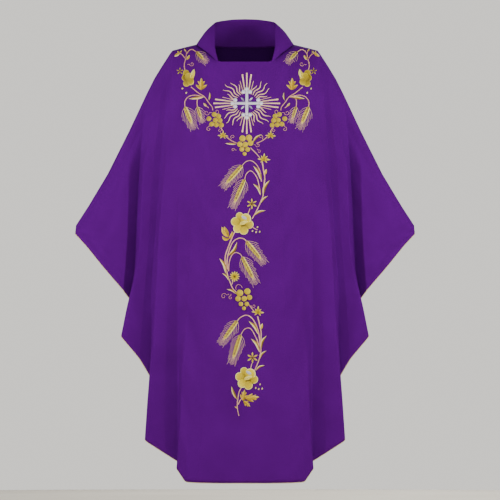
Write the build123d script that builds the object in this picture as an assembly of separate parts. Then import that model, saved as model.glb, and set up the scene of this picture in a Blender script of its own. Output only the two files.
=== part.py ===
from build123d import *

import math
import os

# Gothic chasuble hanging from the wearer's shoulders.  Millimetres, +Z up, the front faces -Y.
# The origin is the centre of the neck opening at the height where the shoulders carry the garment.

# ---- driving dimensions ----
CLOTH = 1.5  # outer cloth with its turned-in edges pressed flat
LINING_DEPTH = 2.9  # outer face of the cloth to the outer face of the lining
LINING = 0.8
BACKING_DEPTH = 1.8  # outer face of the cloth to the stabiliser behind the embroidery
BACKING = 0.5
TAPE_DEPTH = 1.8
TAPE = 0.5
TAPE_WIDTH = 10.0
COLLAR_STIFFENER_DEPTH = 1.7
COLLAR_STIFFENER = 0.8
COLLAR_FACING_DEPTH = 2.7
COLLAR_FACING = 1.0
PIPING = 2.4
BACK_DEPTH_SCALE = 0.85  # the back hangs a little closer to the wearer
BACK_HEM_RISE = 5.0
BACK_NECK_DROP = 60.0
NECK_COLUMNS = 4  # columns on each side of the centre that start at the neckline
NECK_FACING_ROWS = 5
BACKING_ROWS = (3, 13)
BACKING_COLUMNS = 2
LABEL_SIZE = (46.0, 22.0, 0.6)
LABEL_TOP = -64.0
LABEL_ROW = 4  # row of the back at the label's height
LABEL_GAP = 16.0
TAPE_COLUMNS = (4, 9)
TAPE_DIP = 0.5
EMBROIDERED_WIDTH = 230.0  # the design lies within this distance of the centre

# The share of each column's length at which a row of the cloth lies, closer together over the shoulder.
ROWS = (0.0, 0.012, 0.03, 0.06, 0.10, 0.16, 0.24, 0.34, 0.45, 0.56, 0.67, 0.78, 0.88, 0.965, 1.0)

# Columns of the right front half from the centre to the sleeve tip.  Each one has the drop over which it
# rolls off the shoulder, and points (x, depth in front of the shoulder seam, z) from the seam to the hem.
COLUMNS = (
    ("centre", 0, ((0, 105, -44), (0, 130, -200), (0, 145, -400), (0, 158, -700), (0, 180, -1221))),
    ("inner", 0, ((42, 104, -44), (50, 130, -200), (56, 145, -400), (60, 158, -700), (68, 180, -1221))),
    ("neck_corner", 0, ((76, 100, -44), (90, 126, -200), (100, 141, -400), (110, 154, -700),
                      (128, 176, -1220))),
    ("collar_seam", 60, ((106, 60, -19), (108, 101, -80), (110, 123, -200), (120, 137, -400),
                      (132, 148, -700), (158, 168, -1219))),
    ("crest_1", 180, ((137, 0, 6), (132, 114, -150), (146, 128, -375), (154, 136, -543), (164, 144, -767),
                      (174, 149, -879), (182, 152, -1050), (192, 154, -1192))),
    ("valley_1", 180, ((158, 0, 1), (168, 96, -150), (183, 98, -375), (188, 98, -543), (187, 98, -767),
                       (186, 98, -879), (185, 99, -1050), (186, 100, -1163))),
    ("panel_2", 170, ((182, 0, -5), (188, 90, -160), (204, 100, -375), (214, 107, -600), (220, 112, -850),
                      (226, 116, -1138))),
    ("crest_2", 160, ((204, 0, -11), (206, 76, -179), (224, 90, -347), (242, 99, -543), (250, 104, -700),
                      (260, 108, -879), (268, 109, -934), (281, 110, -1103))),
    ("valley_2", 150, ((211, 0, -20), (223, 50, -179), (238, 52, -347), (251, 52, -543), (262, 54, -700),
                       (260, 54, -850), (255, 54, -942))),
    ("panel_3", 130, ((233, 0, -54), (243, 52, -200), (259, 59, -347), (270, 64, -543), (283, 69, -700),
                      (295, 73, -875))),
    ("crest_3", 120, ((255, 0, -90), (271, 43, -263), (286, 54, -347), (294, 61, -543), (309, 66, -655),
                      (327, 70, -714), (348, 74, -812))),
    ("valley_3", 90, ((277, 0, -134), (289, 18, -263), (298, 20, -400), (305, 22, -543), (314, 24, -719))),
    ("crest_4", 60, ((325, 0, -236), (326, 30, -350), (331, 40, -543), (341, 44, -684))),
    ("sleeve", 40, ((386, 0, -358), (386, 22, -430), (392, 28, -540), (398, 32, -618))),
    ("outer_sleeve", 25, ((440, 0, -448), (442, 12, -490), (445, 15, -560))),
    ("tip", 12, ((475, 0, -502), (477, 8, -525))),
)
BACK_NECK = ((0, 78, 0), (42, 76, 0), (76, 68, 2), (106, 45, 4))

# Top edge of the stand-up collar, (x, y, z), from the front corner of the neckline to the centre back.
COLLAR_TOP = ((76, -101, -41), (90, -68, 10), (93, 0, 66), (80, 34, 72), (62, 52, 75), (35, 61, 78),
              (0, 64, 79))
COLLAR_ROWS = (0.0, 0.34, 0.67, 1.0)

# ---- embroidery, (x, z) from the garment's centre line, millimetres ----
EMBROIDERY_X = 5.0  # the design stands this far to the wearer's left of the centre line
THREAD_LOW = 0.3
THREAD_HIGH = 1.3
STEM_WIDTH = 3.0
AWN_WIDTH = 1.1
TENDRIL_WIDTH = 1.4
LEAF_SHARE = 0.26  # width of a leaf as a share of its length
GRAIN = (9.0, 3.7)  # length and width of one grain of wheat
END_GRAIN_WIDTH = 4.6
GRAIN_PITCH = 8.5
GRAIN_LEAN = 0.71  # radians away from the ear
EAR_SHARE = 0.36  # width of an ear as a share of its length
STEM_STEP = 28.0

SUN = (0, -161)
SUN_CORE = 47.0
SUN_RAYS = 91.0
RAY_WIDTH = 4.5
RAY_SPREAD = 13.0
RAY_START = 0.55  # share of the spread between the rods of a cluster where they start
SIDE_ROD = 0.94  # length of a cluster's outer rods as a share of its middle one
# Each flame between two clusters: its angle from the first one and its reach as a share of the rays'.
FLAMES = ((0.42, 0.62), (0.6, 0.84), (0.785, 0.88), (0.97, 0.84), (1.15, 0.62))
FLAME_WIDTHS = (0.5, 0.9, 0.8, 0.6, 0.15)
FLAME_SWING = 0.05
CROSS_ARM = 34.0
CROSS_BAR = 11.0
CROSS_BUD = 6.5

YOKE_STEMS = (
    ((-149, -6), (-161, -14), (-170, -25), (-173, -49), (-170, -67)),
    ((-185, -26), (-176, -38)),
    ((-152, -9), (-145, -15)),
    ((-156, -115), (-135, -132), (-118, -143), (-106, -160), (-97, -171), (-95, -179)),
    ((-120, -143), (-159, -140), (-173, -154), (-173, -171)),
    ((-125, -143), (-139, -154), (-139, -168)),
    ((-118, -165), (-106, -174)),
    ((-72, -230), (-65, -241)),
    ((-57, -255), (-44, -265), (-27, -273)),
)
YOKE_EARS = (((-173, -171), (-156, -209)), ((-138, -171), (-129, -195)), ((-145, -15), (-127, -33)))
YOKE_AWNS = (
    ((-156, -209), (-146, -238)),
    ((-165, -198), (-179, -213)),
    ((-158, -196), (-138, -221)),
    ((-129, -195), (-131, -213)),
)
YOKE_LEAVES = (
    ((-120, -143), (-162, -148)),
    ((-106, -151), (-104, -132)),
    ((-129, -109), (-127, -90)),
    ((-129, -109), (-114, -116)),
    ((-129, -109), (-139, -120)),
    ((-33, -276), (-61, -274)),
)
YOKE_BUDS = (((-176, -34), (-188, -20)), ((-112, -170), (-120, -161)), ((-168, -24), (-169, -12)))
YOKE_GRAPES = ((-106, -204), (-91, -192), (-79, -197), (-86, -209), (-75, -209), (-97, -220), (-85, -220),
               (-71, -221))
YOKE_GRAPE = 6.5
YOKE_BERRIES = ((-184, -126), (-178, -131), (-173, -137))
YOKE_FLOWER = (-187, -70, 9)
YOKE_BLOSSOM = (-162, -92, 22)
YOKE_VINE_LEAF = (-67, -253, 14)
YOKE_TENDRILS = ((-86, -182), (-111, -182), (-106, -232), (-76, -235), (-39, -256), (-156, -50))

CENTRE_STEMS = (
    ((11, -286), (25, -300), (37, -314)),
    ((43, -330), (47, -350), (50, -368), (48, -386), (45, -420), (37, -440), (31, -455), (15, -484)),
    ((40, -372), (29, -335), (14, -322), (2, -323), (-13, -333)),
    ((37, -406), (31, -378), (12, -350), (-6, -372)),
    ((9, -459), (2, -470)),
    ((15, -508), (30, -515)),
    ((-28, -523), (-41, -542)),
    ((-31, -524), (-44, -543), (-53, -566), (-60, -588), (-60, -610), (-55, -636), (-47, -660), (-39, -679),
     (-28, -690)),
    ((-54, -618), (-51, -584), (-41, -554), (-22, -538), (-2, -546)),
    ((-51, -624), (-46, -596), (-31, -578), (-16, -588)),
    ((-40, -658), (-40, -669)),
    ((6, -728), (20, -743)),
    ((30, -756), (36, -781), (40, -804), (39, -832), (39, -854), (35, -874), (28, -893), (22, -910)),
    ((37, -834), (29, -788), (15, -762), (1, -753), (-26, -767)),
    ((34, -848), (24, -812), (3, -784), (-15, -804)),
    ((14, -888), (13, -902)),
    ((-14, -958), (-23, -973), (-26, -994), (-25, -1014), (-23, -1032)),
    ((-22, -1000), (-13, -988)),
)
CENTRE_EARS = (
    ((-13, -335), (-53, -378)),
    ((-5, -375), (-31, -431)),
    ((-1, -547), (36, -592)),
    ((-13, -591), (16, -644)),
    ((-27, -769), (-61, -816)),
    ((-17, -808), (-35, -865)),
)
CENTRE_AWNS = (
    ((-53, -378), (-69, -400)), ((-40, -358), (-68, -360)), ((-40, -372), (-36, -395)),
    ((-22, -352), (-13, -364)), ((-31, -431), (-44, -459)), ((-26, -404), (-47, -420)),
    ((-12, -392), (2, -409)), ((-22, -422), (-9, -440)), ((36, -592), (52, -618)),
    ((28, -576), (52, -580)), ((14, -575), (9, -599)), ((3, -558), (-2, -577)), ((16, -644), (18, -676)),
    ((12, -622), (33, -644)), ((-8, -604), (-20, -615)), ((4, -636), (1, -660)),
    ((-61, -816), (-81, -841)), ((-48, -792), (-78, -802)), ((-52, -812), (-68, -847)),
    ((-34, -784), (-25, -795)), ((-35, -865), (-44, -896)), ((-32, -842), (-54, -861)),
    ((-30, -868), (-33, -899)), ((-20, -824), (-3, -834)), ((-24, -852), (-11, -874)),
)
CENTRE_LEAVES = (
    ((19, -270), (42, -250)), ((40, -375), (18, -336)), ((39, -414), (20, -386)),
    ((45, -417), (64, -378)), ((40, -437), (57, -421)), ((23, -473), (50, -462)),
    ((-51, -588), (-26, -549)), ((-57, -637), (-75, -594)), ((-49, -655), (-67, -638)),
    ((-28, -694), (-57, -680)), ((31, -806), (6, -769)), ((33, -854), (13, -818)),
    ((40, -848), (54, -812)), ((38, -871), (52, -854)), ((26, -907), (48, -894)),
    ((-26, -988), (-44, -952)), ((-57, -524), (-68, -507)), ((-57, -524), (-41, -519)),
    ((-57, -524), (-61, -537)), ((-13, -988), (-6, -960)), ((-1, -980), (34, -983)),
    ((-11, -991), (8, -1008)),
)
CENTRE_BUDS = (((50, -360), (54, -346)), ((39, -792), (43, -777)), ((-25, -1012), (-33, -1009)))
# Each grape, (x, z, radius).
CENTRE_GRAPES = (
    (-12, -259, 9), (6, -258, 9), (-20, -275, 7), (-5, -277, 8), (10, -272, 8), (-14, -289, 7),
    (2, -290, 7), (-6, -302, 5), (-19, -691, 9), (1, -687, 9), (-24, -707, 7), (-7, -707, 8),
    (8, -703, 7), (-16, -722, 6), (0, -722, 6), (-8, -734, 5),
)
CENTRE_BERRIES = ((30, -507), (16, -517), (26, -519), (35, -519), (37, -946), (25, -955), (33, -958),
                  (43, -958))
ROSES = ((-12, -497), (1, -930))
ROSE = 29.0
ROSE_HEART = (2, 8, 8.7)  # (x, z) from the rose's middle, and radius
BERRY = 3.0
BUD_SHARE = 0.5
CURL = 6.5
LOBE_SHARE = 0.62  # width of a vine leaf's lobe as a share of its length
VINE_LEAVES = ((62, -253, 14), (45, -315, 17), (31, -747, 17))
FLOWERS = ((14, -442, 15), (15, -874, 16))
DAISY = (-34, -645, 14)
CENTRE_TENDRILS = ((31, -280), (34, -297), (-39, -291), (-22, -668), (-69, -697), (-44, -703), (18, -728))


# ---- vectors and points on a column ----
def mix(a, b, t):
    return tuple(p + (q - p) * t for p, q in zip(a, b))


def unit(v):
    size = math.sqrt(sum(c * c for c in v)) or 1.0
    return tuple(c / size for c in v)


def cross(a, b):
    return (a[1] * b[2] - a[2] * b[1], a[2] * b[0] - a[0] * b[2], a[0] * b[1] - a[1] * b[0])


def along_column(points, drop, share):
    """Point of a column at a share of its height, with the cloth rolling off the shoulder over drop."""
    top, hem = points[0][2], points[-1][2]
    z = top + (hem - top) * share
    for upper, lower in zip(points, points[1:]):
        if z >= lower[2] - 1e-9:
            break
    x, depth, _ = mix(upper, lower, (upper[2] - z) / (upper[2] - lower[2]))
    fallen = top - z
    if drop and fallen < drop:
        hang = mix(points[0], points[1], min(1.0, drop / (points[0][2] - points[1][2])))[1]
        depth = points[0][1] + (hang - points[0][1]) * math.sqrt(1 - (1 - fallen / drop) ** 2)
    return (x, -depth, z)


def half_columns(columns, rows=ROWS):
    return [[along_column(points, drop, share) for share in rows] for _, drop, points in columns]


def both_sides(half):
    mirrored = [[(-x, y, z) for x, y, z in column] for column in reversed(half[1:])]
    return mirrored + half


def back_columns():
    """The back hangs like the front, closer to the wearer, and starts higher at the neck."""
    columns = []
    for number, (name, drop, points) in enumerate(COLUMNS):
        if number < len(BACK_NECK):
            drop = BACK_NECK_DROP
            points = (BACK_NECK[number],) + points[1:]
        x, depth, z = points[-1]
        columns.append((name, drop, points[:-1] + ((x, depth, z + BACK_HEM_RISE),)))
    return columns


FRONT = both_sides(half_columns(COLUMNS))
BACK_COLUMNS = both_sides(half_columns(back_columns()))
BACK = [[(x, -y * BACK_DEPTH_SCALE, z) for x, y, z in column] for column in BACK_COLUMNS]


# ---- thin sheets ----
def grid_normals(grid, flip):
    """Unit normals that point away from the wearer; they stay level with a seam that lies at y = 0."""
    normals = []
    for i, column in enumerate(grid):
        left, right = grid[max(i - 1, 0)], grid[min(i + 1, len(grid) - 1)]
        row_normals = []
        for k, point in enumerate(column):
            up, down = column[max(k - 1, 0)], column[min(k + 1, len(column) - 1)]
            across = tuple(b - a for a, b in zip(left[k], right[k]))
            along = tuple(b - a for a, b in zip(up, down))
            normal = cross(along, across) if flip else cross(across, along)
            if abs(point[1]) < 1e-6:
                normal = (normal[0], 0.0, normal[2])
            row_normals.append(unit(normal))
        normals.append(row_normals)
    return normals


def offset(grid, normals, depth):
    moved = []
    for column, row in zip(grid, normals):
        moved.append([tuple(c - n * depth for c, n in zip(point, normal))
                      for point, normal in zip(column, row)])
    return moved


def triangle(a, b, c):
    return Face(Wire.make_polygon([a, b, c], close=True))


def closed_solid(faces):
    return Solid(Shell(faces))


def sheet(outer, inner, cells=None):
    """Closed solid between two grids of points, over every cell or over the chosen ones."""
    if cells is None:
        cells = {(i, k) for i in range(len(outer) - 1) for k in range(len(outer[0]) - 1)}
    faces = []
    for i, k in sorted(cells):
        corners = ((i, k), (i + 1, k), (i + 1, k + 1), (i, k + 1))
        for grid in (outer, inner):
            a, b, c, d = (grid[m][n] for m, n in corners)
            faces += [triangle(a, b, c), triangle(a, c, d)]
        sides = (((i, k - 1), 0, 1), ((i + 1, k), 1, 2), ((i, k + 1), 2, 3), ((i - 1, k), 3, 0))
        for neighbour, first, second in sides:
            if neighbour not in cells:
                (m, n), (p, q) = corners[first], corners[second]
                a, b, c, d = outer[m][n], outer[p][q], inner[p][q], inner[m][n]
                faces += [triangle(a, b, c), triangle(a, c, d)]
    return closed_solid(faces)


def layer(grid, normals, depth, thickness, cells=None):
    return sheet(offset(grid, normals, depth), offset(grid, normals, depth + thickness), cells)


def ring_bar(path, size):
    """Four-sided bar with its corners left, right, above and below a path of points."""
    faces = []
    rings = []
    for i, point in enumerate(path):
        before, after = path[max(i - 1, 0)], path[min(i + 1, len(path) - 1)]
        ahead = unit(tuple(b - a for a, b in zip(before, after)))
        side = unit(cross(ahead, (0.0, 1.0, 0.0)))
        up = unit(cross(side, ahead))
        half = size / 2
        offsets = [tuple(half * c for c in side), tuple(half * c for c in up)]
        offsets += [tuple(-c for c in v) for v in offsets]
        rings.append([tuple(p + c for p, c in zip(point, v)) for v in offsets])
    for first, second in zip(rings, rings[1:]):
        for k in range(4):
            a, b, c, d = first[k], first[(k + 1) % 4], second[(k + 1) % 4], second[k]
            faces += [triangle(a, b, c), triangle(a, c, d)]
    for ring in (rings[0], rings[-1]):
        faces += [triangle(ring[0], ring[1], ring[2]), triangle(ring[0], ring[2], ring[3])]
    return closed_solid(faces)


# ---- embroidery laid on the front ----
def front_triangles():
    triangles = []
    for i in range(len(FRONT) - 1):
        for k in range(len(ROWS) - 1):
            a, b, c, d = FRONT[i][k], FRONT[i + 1][k], FRONT[i + 1][k + 1], FRONT[i][k + 1]
            triangles += [(a, b, c), (a, c, d)]
    return [t for t in triangles if min(abs(p[0]) for p in t) < EMBROIDERED_WIDTH]


FRONT_TRIANGLES = front_triangles()


def on_front(x, z):
    """Foremost point of the front cloth at (x, z) and its outward normal."""
    best = None
    for a, b, c in FRONT_TRIANGLES:
        area = (b[0] - a[0]) * (c[2] - a[2]) - (c[0] - a[0]) * (b[2] - a[2])
        if abs(area) < 1e-9:
            continue
        u = ((x - a[0]) * (c[2] - a[2]) - (c[0] - a[0]) * (z - a[2])) / area
        v = ((b[0] - a[0]) * (z - a[2]) - (x - a[0]) * (b[2] - a[2])) / area
        if u < -1e-6 or v < -1e-6 or u + v > 1 + 1e-6:
            continue
        y = a[1] + u * (b[1] - a[1]) + v * (c[1] - a[1])
        if best is None or y < best[0]:
            edge_1 = tuple(q - p for p, q in zip(a, b))
            edge_2 = tuple(q - p for p, q in zip(a, c))
            normal = unit(cross(edge_1, edge_2))
            best = (y, normal if normal[1] < 0 else tuple(-n for n in normal))
    return (x, best[0], z), best[1]


def lift(x, z, height):
    point, normal = on_front(x + EMBROIDERY_X, z)
    return tuple(p + n * height for p, n in zip(point, normal))


def refine(path, step):
    points = [path[0]]
    for a, b in zip(path, path[1:]):
        pieces = max(1, math.ceil(math.dist(a, b) / step))
        points += [mix(a, b, n / pieces) for n in range(1, pieces + 1)]
    return points


def ribbon(path, widths, low=THREAD_LOW, high=THREAD_HIGH):
    """Raised strip of thread along a path on the front; widths are the full widths at its points."""
    outer, inner = [[], []], [[], []]
    for i, (x, z) in enumerate(path):
        before, after = path[max(i - 1, 0)], path[min(i + 1, len(path) - 1)]
        run = math.dist(before, after)
        side = (-(after[1] - before[1]) / run, (after[0] - before[0]) / run)
        for column, sign in enumerate((1, -1)):
            edge = (x + sign * side[0] * widths[i] / 2, z + sign * side[1] * widths[i] / 2)
            outer[column].append(lift(*edge, high))
            inner[column].append(lift(*edge, low))
    return sheet(outer, inner)


def even_ribbon(path, width, step=STEM_STEP):
    points = refine(path, step)
    return ribbon(points, [width] * len(points))


def on_cloth(x, z, direction=None):
    """Work plane on the front, just off the cloth, with its X axis along a direction over the cloth."""
    point, normal = on_front(x + EMBROIDERY_X, z)
    along = None
    if direction:
        across = unit(cross((direction[0], 0.0, direction[1]), normal))
        along = cross(normal, across)
    return Plane(origin=Vector(*point) + Vector(*normal) * THREAD_LOW, x_dir=along, z_dir=normal)


def spindle(base, tip, width):
    """Leaf, petal, grain or bud: a flat patch of thread that swells in the middle."""
    half = math.dist(base, tip) / 2
    middle = mix(base, tip, 0.5)
    outline = [(-half, 0.0), (-0.4 * half, width / 2), (0.3 * half, 0.42 * width), (half, 0.0)]
    outline += [(u, -v) for u, v in outline[2:0:-1]]
    plane = on_cloth(*middle, (tip[0] - base[0], tip[1] - base[1]))
    return extrude(plane * Polygon(*outline, align=None), THREAD_HIGH - THREAD_LOW)


def disc(x, z, radius, sides=8, height=THREAD_HIGH):
    """Flat button of thread square to the cloth under it."""
    return extrude(on_cloth(x, z) * RegularPolygon(radius, sides), height - THREAD_LOW)


def rosette(x, z, radius, petals, width, turn=0.0, hub=0.25):
    """Petals or leaf lobes around a middle."""
    pieces = []
    for n in range(petals):
        angle = 2 * math.pi * n / petals + turn
        start = (x + hub * radius * math.cos(angle), z + hub * radius * math.sin(angle))
        end = (x + radius * math.cos(angle), z + radius * math.sin(angle))
        pieces.append(spindle(start, end, width))
    return pieces


def wheat_ear(base, tip):
    """Two rows of grains that lean outwards along the ear, and one at its end."""
    length = math.dist(base, tip)
    ahead = ((tip[0] - base[0]) / length, (tip[1] - base[1]) / length)
    side = (-ahead[1], ahead[0])
    pairs = max(3, round(length / GRAIN_PITCH))
    half = EAR_SHARE * length / 2
    root_gap = THREAD_HIGH + THREAD_LOW
    grains = []
    for n in range(pairs):
        share = n / pairs
        root = mix(base, tip, share)
        size = min(GRAIN[0], half * (0.55 + 0.45 * math.sin(math.pi * (share * 0.8 + 0.2))))
        for sign in (1, -1):
            forward, outward = math.cos(GRAIN_LEAN), sign * math.sin(GRAIN_LEAN)
            lean = tuple(a * forward + s * outward for a, s in zip(ahead, side))
            start = tuple(c + sign * s * root_gap for c, s in zip(root, side))
            end = tuple(c + d * size for c, d in zip(start, lean))
            grains.append(spindle(start, end, GRAIN[1]))
    past_tip = tuple(c + a * 3 for c, a in zip(tip, ahead))
    grains.append(spindle(mix(base, tip, 0.86), past_tip, END_GRAIN_WIDTH))
    return grains


def curl(x, z, turn):
    """Tendril: a small open spiral."""
    path = []
    for n in range(6):
        angle = turn + n * 0.85
        radius = CURL * (1 - 0.13 * n)
        path.append((x + radius * math.cos(angle), z + radius * math.sin(angle)))
    return ribbon(path, [TENDRIL_WIDTH] * len(path))


def mirrored(path):
    return tuple((-point[0],) + tuple(point[1:]) for point in path)


def both_yokes(paths):
    return tuple(paths) + tuple(mirrored(path) for path in paths)


def sun_point(radius, angle):
    return (SUN[0] + radius * math.cos(angle), SUN[1] + radius * math.sin(angle))


def sun_rays():
    """Four clusters of three straight rods, and the wavy flames between them."""
    straight, wavy = [], []
    steps = len(FLAME_WIDTHS) - 1
    for quarter in range(4):
        angle = quarter * math.pi / 2
        ahead, side = (math.cos(angle), math.sin(angle)), (-math.sin(angle), math.cos(angle))
        for lane, reach in ((-1, SIDE_ROD), (0, 1.0), (1, SIDE_ROD)):
            near, far = lane * RAY_SPREAD * RAY_START, lane * RAY_SPREAD
            start = tuple(c + a * SUN_CORE + s * near for c, a, s in zip(SUN, ahead, side))
            end = tuple(c + a * SUN_RAYS * reach + s * far for c, a, s in zip(SUN, ahead, side))
            straight.append(ribbon([start, end], [RAY_WIDTH * 0.6, RAY_WIDTH]))
        for turn, reach in FLAMES:
            path = []
            for n in range(steps + 1):
                radius = SUN_CORE + (SUN_RAYS * reach - SUN_CORE) * n / steps
                path.append(sun_point(radius, angle + turn + FLAME_SWING * math.sin(n * math.pi / 1.5)))
            wavy.append(ribbon(path, [RAY_WIDTH * width for width in FLAME_WIDTHS]))
    return straight, wavy


def silver_cross():
    """Equal-armed cross with three round buds at the end of each arm."""
    x, z = SUN
    bars = (((x - CROSS_ARM, z), (x + CROSS_ARM, z)), ((x, z + CROSS_BAR / 2), (x, z + CROSS_ARM)),
            ((x, z - CROSS_BAR / 2), (x, z - CROSS_ARM)))
    pieces = [ribbon(bar, [CROSS_BAR, CROSS_BAR]) for bar in bars]
    for quarter in range(4):
        ahead = (round(math.cos(quarter * math.pi / 2)), round(math.sin(quarter * math.pi / 2)))
        side = (-ahead[1], ahead[0])
        side_bud = CROSS_ARM - CROSS_BUD * 0.4
        for reach, out in ((CROSS_ARM + CROSS_BUD, 0), (side_bud, 1), (side_bud, -1)):
            shift = out * (CROSS_BAR / 2 + CROSS_BUD)
            bud_x = x + ahead[0] * reach + side[0] * shift
            bud_z = z + ahead[1] * reach + side[1] * shift
            pieces.append(disc(bud_x, bud_z, CROSS_BUD))
    return pieces


def roses():
    """Five broad petals and four inner ones, round a raised heart."""
    petals, hearts = [], []
    heart_x, heart_z, heart = ROSE_HEART
    for x, z in ROSES:
        petals += rosette(x, z, ROSE, 5, ROSE * 0.95, turn=math.pi / 2, hub=0.42)
        petals += rosette(x, z, ROSE * 0.78, 4, ROSE * 0.42, turn=0.4, hub=0.45)
        hearts.append(disc(x + heart_x, z + heart_z, heart, height=THREAD_HIGH + 0.5))
    return petals, hearts


# ---- the sewn pieces ----
def group(pieces):
    return pieces[0] if len(pieces) == 1 else Compound(children=list(pieces))


def cell_block(columns, rows):
    return {(i, k) for i in columns for k in rows}


def panels_and_linings():
    nodes = {}
    middle = len(COLUMNS) - 1
    for name, grid, flip in (("front", FRONT, True), ("back", BACK, False)):
        normals = grid_normals(grid, flip)
        every = cell_block(range(len(grid) - 1), range(len(ROWS) - 1))
        facing = cell_block(range(middle - NECK_COLUMNS, middle + NECK_COLUMNS), range(NECK_FACING_ROWS))
        hem = cell_block(range(len(grid) - 1), (len(ROWS) - 2,))
        nodes[name + "_panel"] = layer(grid, normals, 0.0, CLOTH)
        nodes[name + "_lining"] = layer(grid, normals, LINING_DEPTH, LINING, every - facing - hem)
        nodes[name + "_neck_facing"] = layer(grid, normals, LINING_DEPTH, LINING, facing)
        mid_cloth = offset(grid, normals, CLOTH / 2)
        hem_line = [(x, y, z - PIPING / 2) for x, y, z in (column[-1] for column in mid_cloth)]
        nodes[name + "_hem_piping"] = ring_bar(hem_line, PIPING)
        if name == "front":
            backing = cell_block(range(middle - BACKING_COLUMNS, middle + BACKING_COLUMNS),
                                 range(*BACKING_ROWS))
            nodes["embroidery_backing"] = layer(grid, normals, BACKING_DEPTH, BACKING, backing)
    return nodes


def collar_pieces():
    """Stand-up collar from the front corners of the neckline round the back, in its three layers."""
    seam = [(x, -depth, z) for x, depth, z in (COLUMNS[2][2][0], COLUMNS[3][2][0], COLUMNS[4][2][0])]
    seam += [(x, depth * BACK_DEPTH_SCALE, z) for x, depth, z in reversed(BACK_NECK)]
    half = []
    for i in range(len(seam) - 1):
        for share in (0.0, 0.5):
            foot, top = mix(seam[i], seam[i + 1], share), mix(COLLAR_TOP[i], COLLAR_TOP[i + 1], share)
            half.append([mix(foot, top, row) for row in COLLAR_ROWS])
    last = [mix(seam[-1], COLLAR_TOP[-1], row) for row in COLLAR_ROWS]
    other = [[(-x, y, z) for x, y, z in column] for column in reversed(half)]
    grid = half + [last] + other
    normals = grid_normals(grid, True)
    if normals[len(half)][1][1] < 0:
        normals = [[tuple(-c for c in n) for n in column] for column in normals]
    return {
        "collar": layer(grid, normals, 0.0, CLOTH),
        "collar_interfacing": layer(grid, normals, COLLAR_STIFFENER_DEPTH, COLLAR_STIFFENER),
        "collar_facing": layer(grid, normals, COLLAR_FACING_DEPTH, COLLAR_FACING),
    }


def shoulder_tapes():
    """Stay tape inside each shoulder seam, from the collar to the start of the sleeve."""
    seam = [points[0] for _, _, points in COLUMNS[slice(*TAPE_COLUMNS)]]
    nodes = {}
    for side, sign in (("left", 1), ("right", -1)):
        grid = []
        for y, dip in ((-TAPE_WIDTH / 2, TAPE_DIP), (0.0, 0.0), (TAPE_WIDTH / 2, TAPE_DIP)):
            grid.append([(sign * x, y, z - TAPE_DEPTH - dip) for x, _, z in seam])
        under = [[(x, y, z - TAPE) for x, y, z in column] for column in grid]
        nodes[side + "_shoulder_tape"] = sheet(grid, under)
    return nodes


def label():
    """Blank woven label stitched inside the back neck."""
    width, height, thickness = LABEL_SIZE
    middle = len(COLUMNS) - 1
    cloth_y = max(column[LABEL_ROW][1] for column in BACK[middle - 1:middle + 2])
    back = cloth_y - LINING_DEPTH - LINING - LABEL_GAP
    return Pos(0, back, LABEL_TOP - height / 2) * Box(width, thickness, height)


def embroidery():
    straight, wavy = sun_rays()
    petals, hearts = roses()
    vine, flowers, blossoms, grapes = [], [], [], []
    for sign in (1, -1):
        x, z, radius = YOKE_VINE_LEAF
        vine += rosette(sign * x, z, radius, 5, radius * LOBE_SHARE, turn=math.pi / 2)
        x, z, radius = YOKE_FLOWER
        flowers += rosette(sign * x, z, radius, 4, radius * 0.5)
        x, z, radius = YOKE_BLOSSOM
        blossoms += rosette(sign * x, z, radius, 5, radius * 0.6, turn=0.9, hub=0.2)
        grapes += [disc(sign * gx, gz, YOKE_GRAPE) for gx, gz in YOKE_GRAPES]
    grapes += [disc(*grape) for grape in CENTRE_GRAPES]
    for x, z, radius in VINE_LEAVES:
        vine += rosette(x, z, radius, 5, radius * LOBE_SHARE, turn=math.pi / 2)
    for x, z, radius in FLOWERS:
        flowers += rosette(x, z, radius, 6, radius * 0.42)
    x, z, radius = DAISY
    flowers += rosette(x, z, radius, 12, radius * 0.3)
    berries = YOKE_BERRIES + mirrored(YOKE_BERRIES) + CENTRE_BERRIES
    leaves = both_yokes(YOKE_LEAVES) + CENTRE_LEAVES
    buds = both_yokes(YOKE_BUDS) + CENTRE_BUDS
    tendrils = YOKE_TENDRILS + mirrored(YOKE_TENDRILS) + CENTRE_TENDRILS
    return {
        "sunburst_straight_rays": straight,
        "sunburst_wavy_rays": wavy,
        "silver_cross": silver_cross(),
        "vine_stems": [even_ribbon(path, STEM_WIDTH) for path in CENTRE_STEMS],
        "left_yoke_stems": [even_ribbon(mirrored(path), STEM_WIDTH) for path in YOKE_STEMS],
        "right_yoke_stems": [even_ribbon(path, STEM_WIDTH) for path in YOKE_STEMS],
        "wheat_ears": [g for ear in both_yokes(YOKE_EARS) + CENTRE_EARS for g in wheat_ear(*ear)],
        "wheat_awns": [even_ribbon(path, AWN_WIDTH) for path in both_yokes(YOKE_AWNS) + CENTRE_AWNS],
        "leaves": [spindle(base, tip, LEAF_SHARE * math.dist(base, tip)) for base, tip in leaves],
        "vine_leaves": vine,
        "grapes": grapes,
        "berries": [disc(x, z, BERRY, sides=6) for x, z in berries],
        "roses": petals,
        "rose_hearts": hearts,
        "star_flowers": flowers,
        "side_blossoms": blossoms,
        "buds": [spindle(base, tip, BUD_SHARE * math.dist(base, tip)) for base, tip in buds],
        "tendrils": [curl(x, z, n * 1.3) for n, (x, z) in enumerate(tendrils)],
    }


NODES = {**panels_and_linings(), **collar_pieces(), **shoulder_tapes(), "blank_label": label()}
NODES.update({name: group(pieces) for name, pieces in embroidery().items()})

os.makedirs("parts", exist_ok=True)
for name, shape in NODES.items():
    export_step(shape, f"parts/{name}.step")
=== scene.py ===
import math

import bpy
import numpy as np
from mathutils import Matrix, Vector, noise
from mathutils.bvhtree import BVHTree


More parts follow.
